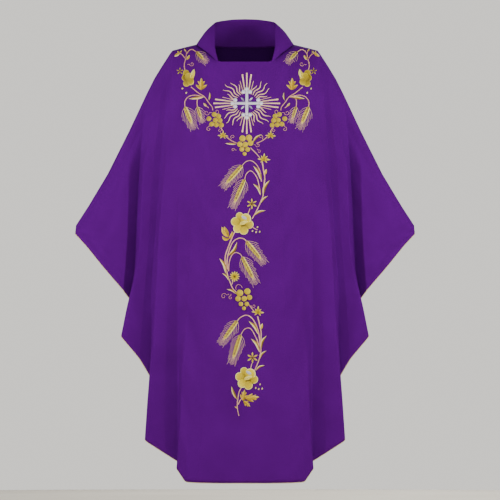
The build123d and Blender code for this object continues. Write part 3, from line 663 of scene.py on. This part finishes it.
def hem_piping(name, grid, normals):
    """Fine corded edge that shows just under the hem."""
    path = grid[:, -1] - normals[:, -1] * CLOTH_THICKNESS + np.array((0, 0, -PIPING_RADIUS * 0.3))
    ahead = np.gradient(path, axis=0)
    ahead /= np.linalg.norm(ahead, axis=1, keepdims=True)
    side = np.cross(ahead, (0.0, 1.0, 0.0))
    side /= np.maximum(np.linalg.norm(side, axis=1, keepdims=True), 1e-9)
    up = np.cross(side, ahead)
    turns = np.linspace(0, 2 * math.pi, PIPING_SIDES, endpoint=False)
    spokes = side[:, None] * np.cos(turns)[:, None] + up[:, None] * np.sin(turns)[:, None]
    rings = path[:, None] + PIPING_RADIUS * spokes
    run = np.linalg.norm(np.diff(path, axis=0, prepend=path[:1]), axis=1).cumsum()
    uvs = [(PIPING_RADIUS * turn, distance) for distance in run for turn in turns]
    faces = []
    for i in range(len(path) - 1):
        for k in range(PIPING_SIDES):
            a, b = i * PIPING_SIDES + k, i * PIPING_SIDES + (k + 1) % PIPING_SIDES
            faces.append((a, b, b + PIPING_SIDES, a + PIPING_SIDES))
    faces.append(tuple(range(PIPING_SIDES))[::-1])
    faces.append(tuple(range((len(path) - 1) * PIPING_SIDES, len(path) * PIPING_SIDES)))
    add_piece(name + "_hem_edging", rings.reshape(-1, 3), faces, MATERIALS["hem_piping"],
              (name + "_hem_piping",), uvs)


def collar_grid():
    """Stand-up collar from the front corners of the neckline round the back; its edge rolls inwards."""
    starts = [COLUMNS[name][1][0] for name in COLLAR_COLUMNS]
    seam = [(x, -depth, z) for x, depth, z in starts]
    seam += [(x, depth * BACK_DEPTH_SCALE, z) for x, depth, z in reversed(BACK_NECK)]
    seam, top = np.array(seam, float), np.array(COLLAR_TOP, float)
    places = np.arange(len(seam), dtype=float)
    fine = np.linspace(0, len(seam) - 1, COLLAR_STEPS * (len(seam) - 1) + 1)
    foot = np.stack([hermite(-fine, -places, seam[:, c]) for c in range(3)], axis=1)
    head = np.stack([hermite(-fine, -places, top[:, c]) for c in range(3)], axis=1)
    rows = np.linspace(0, 1, COLLAR_ROWS)
    half = foot[:, None] + (head - foot)[:, None] * rows[None, :, None]
    height = np.linalg.norm(head - foot, axis=1)[:, None]
    inward = -np.stack([head[:, 0], head[:, 1] + 10, np.zeros(len(head))], axis=1)
    inward /= np.linalg.norm(inward, axis=1, keepdims=True)
    rolled = np.clip((rows[None, :] - COLLAR_ROLL_START) / (1 - COLLAR_ROLL_START), 0, 1)
    roll = COLLAR_ROLL * rolled**2 * np.minimum(height / 50, 1)
    bulge = COLLAR_BULGE * np.sin(math.pi * rows)[None, :] * np.minimum(height / 60, 1)
    half = half + inward[:, None] * (roll - bulge)[:, :, None]
    other = half[-2::-1].copy()
    other[:, :, 0] *= -1
    return np.concatenate([half, other])


def sew_collar():
    grid = collar_grid()
    normals = outward_normals(grid, 1)
    middle = len(grid) // 2
    if normals[middle, COLLAR_ROWS // 2, 1] < 0:
        normals *= -1
    for name, node, depth, thickness, slot, material, keep in (
        ("collar_cloth", "collar", 0, CLOTH_THICKNESS, "purple_cloth", None, EVERYWHERE),
        ("collar_stiffener", "collar_interfacing", STAY_DEPTH, STAY_THICKNESS, "stay_cloth", None,
         (slice(6, -6), slice(0, -2))),
        ("collar_facing_cloth", "collar_facing", LINING_DEPTH, LINING_THICKNESS, "lining_cloth",
         "purple_cloth", EVERYWHERE),
    ):
        cloth_piece(name, node, grid, normals, depth, thickness, slot, material=material, keep=keep)


def facing_way(grid, axis, sign):
    """Normals that all point along one axis."""
    normals = np.zeros_like(grid)
    normals[:, :, axis] = sign
    return normals


def sew_tapes_and_label():
    first, last = (FRONT_PLACES[n] for n in TAPE_COLUMNS)
    middle = len(FRONT) // 2
    for side, sign in (("left", 1), ("right", -1)):
        columns = range(middle + sign * (first - middle), middle + sign * (last - middle), sign)
        seam = FRONT[list(columns), 0]
        rows = np.linspace(-TAPE_WIDTH / 2, TAPE_WIDTH / 2, TAPE_ROWS)
        grid = np.repeat(seam[:, None], TAPE_ROWS, axis=1)
        grid[:, :, 1] = rows
        grid[:, :, 2] -= STAY_DEPTH + TAPE_DIP * (rows / rows[0]) ** 2
        cloth_piece(side + "_shoulder_stay", side + "_shoulder_tape", grid, facing_way(grid, 2, 1), 0,
                    STAY_THICKNESS, "stay_cloth")
    low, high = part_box("blank_label")
    across, down = LABEL_GRID
    grid = np.zeros((across, down, 3))
    grid[:, :, 0] = (np.linspace(low[0], high[0], across) / MM)[:, None]
    grid[:, :, 1] = low[1] / MM + LABEL_BOW * np.sin(np.linspace(0, math.pi, across))[:, None]
    grid[:, :, 2] = (np.linspace(high[2], low[2], down) / MM)[None, :]
    cloth_piece("woven_label", "blank_label", grid, facing_way(grid, 1, -1), 0, LABEL_THICKNESS,
                "label_cloth")


# ---------------------------------------------------------------- embroidery
FRONT_TREE = BVHTree.FromPolygons([Vector(p) for p in FRONT.reshape(-1, 3)],
                                  grid_faces(len(FRONT), ROWS, False))
IN_FRONT = -600.0  # y from which the embroidery's points are cast onto the cloth
NEAR_CLOTH = -60.0
THREAD_GAP = 0.06


def lay(x, z, height):
    """Point at a height over the front of the cloth."""
    start = Vector((x + EMBROIDERY_X, IN_FRONT, z))
    point, normal, _, _ = FRONT_TREE.ray_cast(start, Vector((0, 1, 0)))
    if point is None:
        point, normal, _, _ = FRONT_TREE.find_nearest(Vector((x + EMBROIDERY_X, NEAR_CLOTH, z)))
    if normal.y > 0:
        normal = -normal
    return point + normal * (height + THREAD_GAP)


def smooth_path(points, step=3.0):
    """Catmull-Rom curve through the points, as evenly spaced points."""
    ends = [2 * np.array(points[0], float) - np.array(points[1], float)]
    ends += [np.array(p, float) for p in points]
    ends.append(2 * np.array(points[-1], float) - np.array(points[-2], float))
    path = []
    for a, b, c, d in zip(ends, ends[1:], ends[2:], ends[3:]):
        pieces = max(2, math.ceil(np.linalg.norm(c - b) / step))
        for n in range(pieces):
            t = n / pieces
            bend, twist = 2 * a - 5 * b + 4 * c - d, 3 * b - a - 3 * c + d
            path.append(0.5 * (2 * b + (c - a) * t + bend * t**2 + twist * t**3))
    path.append(ends[-2])
    return np.array(path)


# Places of a strip's lanes across it, and how high each one stands.
STEM_LANES, STEM_DOME = (-1, -0.6, 0, 0.6, 1), (0, 0.8, 1, 0.8, 0)
LEAF_LANES, LEAF_DOME = (-1, -0.7, -0.35, 0, 0.35, 0.7, 1), (0, 0.9, 1, 0.35, 1, 0.9, 0)
BAR_LANES, BAR_DOME = (-1, -0.8, -0.3, 0, 0.3, 0.8, 1), (0, 0.7, 0.75, 1, 0.75, 0.7, 0)
# Rings of a round fill: share of its radius, share of its height.
DOME_RINGS = ((0.0, 1.0), (0.4, 0.98), (0.66, 0.88), (0.8, 0.72), (0.9, 0.5), (0.97, 0.25), (1.0, 0.0))
RIM_RING = 0.85
EDGE_RING = 0.95


class Stitches:
    """Collects the raised thread patches of one embroidered piece."""

    def __init__(self):
        self.vertices, self.faces, self.uvs, self.tones = [], [], [], []

    def patch(self, rows):
        """Grid of (x, z, height, across, along, tone)."""
        start, width = len(self.vertices), len(rows[0])
        for row in rows:
            for x, z, height, across, along, tone in row:
                self.vertices.append(lay(x, z, height))
                self.uvs.append((across, along))
                self.tones.append(tone)
        for i in range(len(rows) - 1):
            for k in range(width - 1):
                a = start + i * width + k
                self.faces.append((a, a + 1, a + width + 1, a + width))

    def strip(self, path, half_widths, height=THREAD_HEIGHT, tone=0.6, lanes=STEM_LANES, dome=STEM_DOME):
        ahead = np.gradient(path, axis=0)
        ahead /= np.maximum(np.linalg.norm(ahead, axis=1, keepdims=True), 1e-9)
        run = np.linalg.norm(np.diff(path, axis=0, prepend=path[:1]), axis=1).cumsum()
        rows = []
        for point, forward, half, distance in zip(path, ahead, half_widths, run):
            row = []
            for lane, rise in zip(lanes, dome):
                x, z = point[0] - forward[1] * half * lane, point[1] + forward[0] * half * lane
                level = height * rise * min(1.0, half / 0.8)
                shade = tone(distance / max(run[-1], 1e-9), lane) if callable(tone) else tone
                row.append((x, z, level, half * lane, distance, shade))
            rows.append(row)
        self.patch(rows)

    def stem(self, points, width=3.0, tone=0.6, taper=0.55, height=THREAD_HEIGHT):
        path = smooth_path(points)
        shares = np.linspace(0, 1, len(path))
        halves = width / 2 * (1 - (1 - taper) * shares)

        # Painted light and shade: one side of the stem is lighter than the other; the tone also bands
        # slightly along it.
        def shade(along, lane):
            return tone + 0.15 * lane + 0.1 * math.sin(along * 40)

        self.strip(path, halves, height, shade)

    def leaf(self, base, tip, bend=0.0, share=0.2, tone=0.5, split=0.3, full=0.45, height=THREAD_HEIGHT,
             tip_tone=0.2):
        """Pointed leaf in two fills that slope to a vein; full is where along it the leaf is widest. The
        two fills differ by painted sheen: one half lighter, the other darker, as satin stitches of two
        directions catch the light differently.
        """
        base, tip = np.array(base, float), np.array(tip, float)
        length = np.linalg.norm(tip - base)
        side = np.array((-(tip - base)[1], (tip - base)[0])) / length
        path = smooth_path([base, base + (tip - base) * 0.5 + side * bend, tip], step=length / 12)
        shares = np.linspace(0, 1, len(path))
        power = math.log(0.5) / math.log(full)
        halves = np.maximum(length * share / 2 * np.sin(math.pi * shares**power) ** 0.85, 0.15)

        # Painted sheen: the half on the positive lanes is lighter by split, the other darker by half of it.
        def shade(along, lane):
            return tone + (split if lane > 0 else -split * 0.5) * (lane != 0) + tip_tone * along**2

        self.strip(path, halves, height, shade, LEAF_LANES, LEAF_DOME)

    def dome(self, x, z, radius, tone=0.5, rim=0.35, height=THREAD_HEIGHT, lift=0.0, turn=0.0, squash=1.0,
             sides=20, crown=0.0, rim_from=-2.0, edge=0.0):
        """Round padded fill: paler near its edge on the side it is turned to, darker at the edge itself as
        painted shade where it meets the cloth, and with crown painted light on the turned side and painted
        shade on the other.
        """
        rows = []
        for share, rise in DOME_RINGS:
            row = []
            for n in range(sides + 1):
                angle = 2 * math.pi * n / sides
                u, v = radius * share * math.cos(angle), radius * share * math.sin(angle) * squash
                px = x + u * math.cos(turn) - v * math.sin(turn)
                pz = z + u * math.sin(turn) + v * math.cos(turn)
                level = lift + height * rise if share < 1 else 0.0
                # Painted light and shade: crown makes the fill lighter towards the side it is turned to and
                # darker on the other.
                shade = tone + crown * share * math.cos(angle)
                if share > RIM_RING and math.cos(angle) > rim_from:
                    shade += rim
                # Painted shade where the padded fill meets the cloth: its outermost ring is darker.
                if share > EDGE_RING:
                    shade -= edge
                row.append((px, pz, level, v, u, shade))
            rows.append(row)
        self.patch(rows)

    def build(self, name, slot, *nodes):
        return add_piece(name, self.vertices, self.faces, MATERIALS[slot], nodes, self.uvs,
                         self.tones)


def both_sides(items):
    """The items and their mirror images; each item's first number of every point is its x."""
    def flip(item):
        if isinstance(item[0], (tuple, list)):
            return tuple(flip(part) if isinstance(part, (tuple, list)) else part for part in item)
        return (-item[0],) + tuple(item[1:])
    return tuple(items) + tuple(flip(item) for item in items)


def flip_bend(leaves):
    return tuple(leaves) + tuple(((-a[0], a[1]), (-b[0], b[1]), -bend) for a, b, bend in leaves)


def heading(angle):
    return np.array((math.cos(angle), math.sin(angle)))


def turned(direction, angle):
    c, s = math.cos(angle), math.sin(angle)
    return np.array((direction[0] * c - direction[1] * s, direction[0] * s + direction[1] * c))


def wheat_ear(grains, awns, base, tip, size):
    """Ear of wheat: a dense double row of grains, and fine awns that sweep past its tip like a feather."""
    base, tip = np.array(base, float), np.array(tip, float)
    length = np.linalg.norm(tip - base)
    ahead = (tip - base) / length
    side = turned(ahead, math.pi / 2)
    pairs = max(5, round(length / GRAIN_PITCH))
    for n in range(pairs):
        share = n / pairs
        swell = 0.8 + 0.35 * math.sin(math.pi * min(1.0, share + 0.12))
        for sign in (1, -1):
            start = base + ahead * length * share + side * sign * 0.9
            end = start + turned(ahead, sign * GRAIN_LEAN) * GRAIN_LENGTH * swell * size
            tone = 0.34 + 0.12 * sign + 0.2 * (n % 2)
            grains.leaf(start, end, share=0.44, tone=tone, split=0.3, tip_tone=0.6)
    grains.leaf(tip - ahead * 5 * size, tip + ahead * 7 * size, share=0.3, tone=0.7, split=0.1)
    lines = round(length / AWN_PITCH) + 1
    for n in range(lines):
        share = n / (lines - 1)
        for sign in (1, -1):
            spread = sign * (0.78 - 0.36 * share)
            reach = (AWN_REACH - 3 * share) * size * (1 + 0.08 * math.sin(n * 2.3 + sign))
            start = base + ahead * length * share + side * sign * 2.0 * size
            middle = start + turned(ahead, spread) * reach * 0.5
            end = middle + turned(ahead, spread * 0.62) * reach * 0.5
            awns.stem([start, middle, end], **AWN_STITCH)
    for n in range(-2, 3):
        end = tip + turned(ahead, 0.14 * n) * (26 - 1.5 * abs(n)) * size
        awns.stem([tip + side * n * 0.8, end], **AWN_STITCH)


def sun_place(radius, angle):
    return np.array((SUN[0] + radius * math.cos(angle),
                     SUN[1] + radius * math.sin(angle) * SUN_REACH[1] / SUN_REACH[0]))


def sunburst():
    straight, wavy = Stitches(), Stitches()
    reach = SUN_REACH[0]

    def ray(foot, head, share):
        return smooth_path([sun_place(SUN_CORE, foot), sun_place(reach * share, head)])

    for quarter in range(4):
        middle = quarter * math.pi / 2
        for turn, share in RODS:
            path = ray(middle + turn, middle + turn, share)
            straight.strip(path, np.linspace(1.0, 2.2, len(path)), tone=0.62)
        for foot, head in FINE_RAYS:
            path = ray(middle + foot, middle + head, FINE_REACH)
            wavy.strip(path, np.full(len(path), 0.8), tone=0.5)
        for turn, share in FLAMES:
            path = []
            for n in range(FLAME_STEPS + 1):
                radius = SUN_CORE + (reach * share - SUN_CORE) * n / FLAME_STEPS
                swing = FLAME_SWING / radius * math.sin((radius - SUN_CORE) / FLAME_WAVE) * min(1, n / 8)
                path.append(sun_place(radius, middle + turn + swing))
            shares = np.linspace(0, 1, len(path))
            halves = 0.5 + 1.2 * np.sin(math.pi * shares) ** 0.6 * (1 - 0.4 * shares)
            wavy.strip(np.array(path), halves, tone=0.55)
    straight.build("sunburst_rods", "pale_gold_thread", "sunburst_straight_rays")
    wavy.build("sunburst_flames", "pale_gold_thread", "sunburst_wavy_rays")


def silver_cross():
    """Equal-armed cross with trefoil ends, a raised middle and a diamond at its crossing."""
    cross = Stitches()
    arm, bar, bud = CROSS
    middle = np.array(SUN, float)
    for quarter in range(4):
        ahead = heading(quarter * math.pi / 2)
        side = np.array((-ahead[1], ahead[0]))
        path = smooth_path([middle + ahead * 4, middle + ahead * arm])
        cross.strip(path, np.linspace(bar, bar * 0.8, len(path)), height=2.0, tone=0.75, lanes=BAR_LANES,
                    dome=BAR_DOME)
        for reach, out in ((arm + bud, 0), (arm - bud * 0.3, 1), (arm - bud * 0.3, -1)):
            place = middle + ahead * reach + side * out * (bar * 0.7 + bud)
            cross.dome(place[0], place[1], bud, tone=0.7, rim=-0.25, height=2.2)
        for lane in (-1, 1):
            start = middle + ahead * (bar + 3) + side * lane * (bar + 3)
            end = start + (ahead + side * lane) * 9
            cross.leaf(start, end, share=0.4, tone=0.6)
    cross.dome(SUN[0], SUN[1], 7.0, tone=0.8, rim=-0.3, height=2.6, sides=4)
    cross.build("bud_cross", "silver_thread", "silver_cross")


def curl(stitches, x, z, size, first, hand):
    """Tendril: an open spiral with a tail that runs off it."""
    points = []
    for n in range(CURL_STEPS):
        angle = first + hand * n * CURL_TURN
        radius = size * (1.0 - CURL_SHRINK * n)
        points.append((x + radius * math.cos(angle), z + radius * math.sin(angle)))
    tail = (points[0][0] + (points[0][0] - x) * 0.8, points[0][1] + (points[0][1] - z) * 0.8)
    stitches.stem([tail] + points, width=TENDRIL, tone=0.45, taper=0.8, height=0.9)


def creases(stitches, middle, reach, outward, leans, inner, **look):
    """Fine dark lines that fan out across a petal."""
    for lean in leans:
        away = turned(heading(outward), lean) * reach
        stitches.stem([middle - away * inner, middle + away * 0.5], taper=0.3, **look)


def rose(petals, heart, x, z):
    """Open rose: petals that overlap round its cup, with paler rims and creases, and a silver fleck."""
    petals.dome(x, z, ROSE_CUP, tone=0.3, rim=0.0, height=1.0, sides=24)
    for n, (px, pz, radius, tone) in enumerate(ROSE_PETALS):
        outward = math.atan2(pz, px)
        lift = 0.5 + PETAL_LIFT * n
        petals.dome(x + px, z + pz, radius, tone=tone, rim=0.55, turn=outward, height=1.0, lift=lift,
                    sides=28, crown=0.16, rim_from=-0.1, edge=0.1)
        creases(petals, np.array((x + px, z + pz)), radius, outward, (-0.35, 0.0, 0.35), 0.7, width=1.2,
                tone=tone - 0.4, height=1.2 + lift)
    for start, end, share, tone in ROSE_FOLDS:
        petals.leaf((x + start[0], z + start[1]), (x + end[0], z + end[1]), share=share, tone=tone,
                    split=0.05, height=4.2)
    heart.dome(x + ROSE_HEART[0], z + ROSE_HEART[1], ROSE_HEART[2], tone=0.55, rim=0.0, turn=-0.5,
               squash=0.52, height=1.5, lift=2.8)


def star(stitches, x, z, radius, points, share, turn=0.0, tone=0.45):
    """Small flower of pointed petals, paler to the tips, round a dark middle."""
    for n in range(points):
        angle = turn + 2 * math.pi * n / points
        start = (x + 0.1 * radius * math.cos(angle), z + 0.1 * radius * math.sin(angle))
        end = (x + radius * math.cos(angle), z + radius * math.sin(angle))
        stitches.leaf(start, end, share=share, tone=tone, split=0.12, full=0.55, tip_tone=0.45)
    stitches.dome(x, z, 0.2 * radius, tone=0.0, rim=0.0, height=1.8, sides=12)


def vine_leaf(stitches, veins, x, z, radius, turn):
    """Vine leaf of seven pointed lobes, with a dark vein up its middle."""
    for lean, reach in VINE_LOBES:
        angle = turn + lean
        end = (x + reach * radius * math.cos(angle), z + reach * radius * math.sin(angle))
        stitches.leaf((x, z), end, share=0.33, tone=0.3, split=0.15, full=0.4, tip_tone=0.8)
    middle, ahead = np.array((x, z)), heading(turn)
    veins.stem([middle - ahead * radius * 0.3, middle + ahead * radius * 0.6], width=1.5, tone=0.0,
               height=THREAD_HEIGHT * 1.4)


def blossom(petals, pale, x, z, radius, side):
    """Rose seen from the side: olive petals with paler rims, and an upright pale one towards the middle."""
    for n, (px, pz, size, squash, tone) in enumerate(BLOSSOM_PETALS):
        outward = math.atan2(pz, side * px)
        lift = PETAL_LIFT * n
        middle = np.array((x + side * px * radius, z + pz * radius))
        petals.dome(middle[0], middle[1], size * radius, tone=tone, rim=0.35, turn=outward, squash=squash,
                    height=1.0, lift=lift, sides=24, crown=0.15, rim_from=0.0)
        creases(petals, middle, size * radius, outward, (-0.4, 0.3), 0.8, width=0.8, tone=0.0,
                height=1.2 + lift)
    pale.leaf((x + side * 0.24 * radius, z - 0.1 * radius), (x + side * 0.62 * radius, z + 1.0 * radius),
              share=0.42, tone=0.75, split=0.15, height=3.0)


def lobed_leaf(leaves, base, tip, spread):
    """Broad leaf with two pairs of pointed side lobes."""
    base, tip = np.array(base, float), np.array(tip, float)
    length = np.linalg.norm(tip - base)
    ahead = (tip - base) / length
    for start, reach, lean in ((0.02, 0.62, 0.85), (0.3, 0.52, 0.6)):
        for sign in (1, -1):
            root = base + ahead * length * start
            end = root + turned(ahead, sign * lean * spread) * length * reach
            leaves.leaf(root, end, bend=-2.0 * sign * lean, share=0.38, tone=0.3, split=0.25, tip_tone=0.35)
    leaves.leaf(base, tip, share=0.32, tone=0.36, split=0.25, tip_tone=0.35, height=THREAD_HEIGHT * 1.3)


def embroider():
    grains, awns, vine, left, right, leaves, vine_leaves = (Stitches() for _ in range(7))
    veins, grapes, berries, petals, hearts = (Stitches() for _ in range(5))
    flowers, blossoms, buds, tendrils = (Stitches() for _ in range(4))
    for base, tip, size in both_sides(YOKE_EARS) + CENTRE_EARS:
        wheat_ear(grains, awns, base, tip, size)
    for path in CENTRE_STEMS:
        vine.stem(path, width=MAIN_STEM if len(path) > 6 else THIN_STEM, taper=0.75)
    # Painted shade: the yoke stems take a darker tone for the shadow over the shoulders.
    for path in YOKE_STEMS:
        right.stem(path, width=THIN_STEM, taper=0.8, tone=0.45)
        left.stem([(-x, z) for x, z in path], width=THIN_STEM, taper=0.8, tone=0.45)
    for n, (base, tip, bend) in enumerate(flip_bend(YOKE_LEAVES) + CENTRE_LEAVES):
        tone = 0.36 + 0.1 * math.sin(n * 2.1)
        leaves.leaf(base, tip, bend, share=0.2, tone=tone, split=0.6, tip_tone=0.3)
    for base, tip, bend in CENTRE_WIDE_LEAVES:
        leaves.leaf(base, tip, bend, share=0.4, tone=0.36, split=0.25, tip_tone=0.3)
    for base, tip, spread in both_sides((YOKE_LOBED_LEAF,)) + CENTRE_LOBED_LEAVES:
        lobed_leaf(leaves, base, tip, spread)
    for base, tip in both_sides(YOKE_BUDS) + CENTRE_BUDS:
        buds.leaf(base, tip, share=0.45, tone=0.6, split=0.25)
    for x, z in both_sides(YOKE_GRAPES):
        grapes.dome(x, z, YOKE_GRAPE, tone=0.34, rim=0.3, height=1.6, crown=0.12, edge=0.5)
    for n, (x, z, radius) in enumerate(CENTRE_GRAPES):
        grapes.dome(x, z, radius, tone=0.42, rim=0.35, height=1.6, lift=0.2 * n, crown=0.12, edge=0.6)
    for x, z in both_sides(YOKE_BERRIES) + CENTRE_BERRIES:
        berries.dome(x, z, 2.8, tone=0.85, rim=0.2, height=1.5, squash=0.75, turn=1.2, sides=12)
    for x, z in ROSES:
        rose(petals, hearts, x, z)
    for x, z, radius in both_sides((YOKE_VINE_LEAF,)) + VINE_LEAVES:
        vine_leaf(vine_leaves, veins, x, z, radius, 1.5)
    for x, z, radius in FLOWERS:
        star(flowers, x, z, radius, 6, 0.32, turn=math.pi / 2)
    for x, z, radius in both_sides((YOKE_FLOWER,)):
        star(flowers, x, z, radius, 5, 0.36, turn=0.3, tone=0.15)
    star(flowers, DAISY[0], DAISY[1], DAISY[2], 12, 0.3, tone=0.5)
    for side in (1, -1):
        x, z, radius = YOKE_BLOSSOM
        blossom(blossoms, flowers, side * x, z, radius, side)
    for item in YOKE_TENDRILS + CENTRE_TENDRILS:
        curl(tendrils, *item)
    for x, z, size, first, hand in YOKE_TENDRILS:
        curl(tendrils, -x, z, size, math.pi - first, -hand)
    tendrils.stem(ARCH_TENDRIL, width=TENDRIL, tone=0.45, taper=0.9, height=0.9)
    sunburst()
    silver_cross()
    grains.build("wheat_grains", "lemon_gold_thread", "wheat_ears")
    awns.build("wheat_beards", "pale_gold_thread", "wheat_awns")
    vine.build("vine_stem_stitching", "pale_thread", "vine_stems")
    left.build("left_yoke_stitching", "pale_thread", "left_yoke_stems")
    right.build("right_yoke_stitching", "pale_thread", "right_yoke_stems")
    leaves.build("gold_leaves", "gold_thread", "leaves")
    vine_leaves.build("vine_leaf_fills", "lemon_gold_thread", "vine_leaves")
    veins.build("vine_leaf_veins", "gold_thread")
    grapes.build("grape_bunches", "lemon_gold_thread", "grapes")
    berries.build("berry_sprigs", "gold_thread", "berries")
    petals.build("rose_petals", "lemon_gold_thread", "roses")
    hearts.build("silver_rose_hearts", "silver_thread", "rose_hearts")
    flowers.build("star_flower_petals", "lemon_gold_thread", "star_flowers")
    blossoms.build("shoulder_blossoms", "lemon_gold_thread", "side_blossoms")
    buds.build("flower_buds", "gold_thread", "buds")
    tendrils.build("curled_tendrils", "pale_thread", "tendrils")


# ---------------------------------------------------------------- camera, light and floor
def add_camera():
    data = bpy.data.cameras.new("camera")
    data.sensor_width = SENSOR
    data.lens = SENSOR * CAMERA_DISTANCE / VIEW_WIDTH
    camera = bpy.data.objects.new("camera", data)
    camera.location = (VIEW_CENTRE[0], GARMENT_PLANE_Y - CAMERA_DISTANCE, VIEW_CENTRE[1])
    camera.rotation_euler = (math.pi / 2, 0, 0)
    bpy.context.collection.objects.link(camera)
    bpy.context.scene.camera = camera


def add_light(name, place, size, power, colour):
    """Round lamp that points at the middle of the garment."""
    data = bpy.data.lights.new(name, "AREA")
    data.shape, data.size, data.energy, data.color = "DISK", size, power, colour
    light = bpy.data.objects.new(name, data)
    light.location = place
    middle = Vector((0, 0, CAD_BOX[0][2] / 2))
    light.rotation_euler = (middle - Vector(place)).to_track_quat("-Z", "Y").to_euler()
    bpy.context.collection.objects.link(light)


def add_studio():
    for lamp in LIGHTS:
        add_light(*lamp)
    world = bpy.data.worlds.new("studio")
    world.use_nodes = True
    tree = world.node_tree
    direction = tree.nodes.new("ShaderNodeTexCoord")
    split = tree.nodes.new("ShaderNodeSeparateXYZ")
    ramp = tree.nodes.new("ShaderNodeValToRGB")
    low, high = ramp.color_ramp.elements
    low.position, low.color = HORIZON_TOP[0], HORIZON
    high.position, high.color = HORIZON_TOP[1], CEILING
    tree.links.new(direction.outputs["Generated"], split.inputs[0])
    tree.links.new(split.outputs["Z"], ramp.inputs["Fac"])
    tree.links.new(ramp.outputs["Color"], tree.nodes["Background"].inputs["Color"])
    bpy.context.scene.world = world


def add_floor():
    """Pale round floor under the garment."""
    floor_z = CAD_BOX[0][2] - FLOOR_GAP
    turns = np.linspace(0, 2 * math.pi, FLOOR_SIDES, endpoint=False)
    vertices = [(FLOOR_RADIUS * math.cos(turn), FLOOR_RADIUS * math.sin(turn), floor_z) for turn in turns]
    faces = [tuple(range(FLOOR_SIDES))]
    mesh = bpy.data.meshes.new("floor")
    mesh.from_pydata(vertices, [], faces)
    n = Nodes("pale_floor")
    place = n.add("ShaderNodeTexCoord").outputs["Object"]
    shade = n.ramp(n.noise(place, 1.5), rgb(222, 214, 198), rgb(236, 229, 214), 0.3, 0.7)
    n.link(shade, n.shader.inputs["Base Color"])
    n.set(Roughness=0.9)
    mesh.materials.append(n.material)
    floor = bpy.data.objects.new("floor", mesh)
    bpy.context.collection.objects.link(floor)


add_camera()
add_studio()
add_floor()
sew_panels()
sew_collar()
sew_tapes_and_label()
embroider()
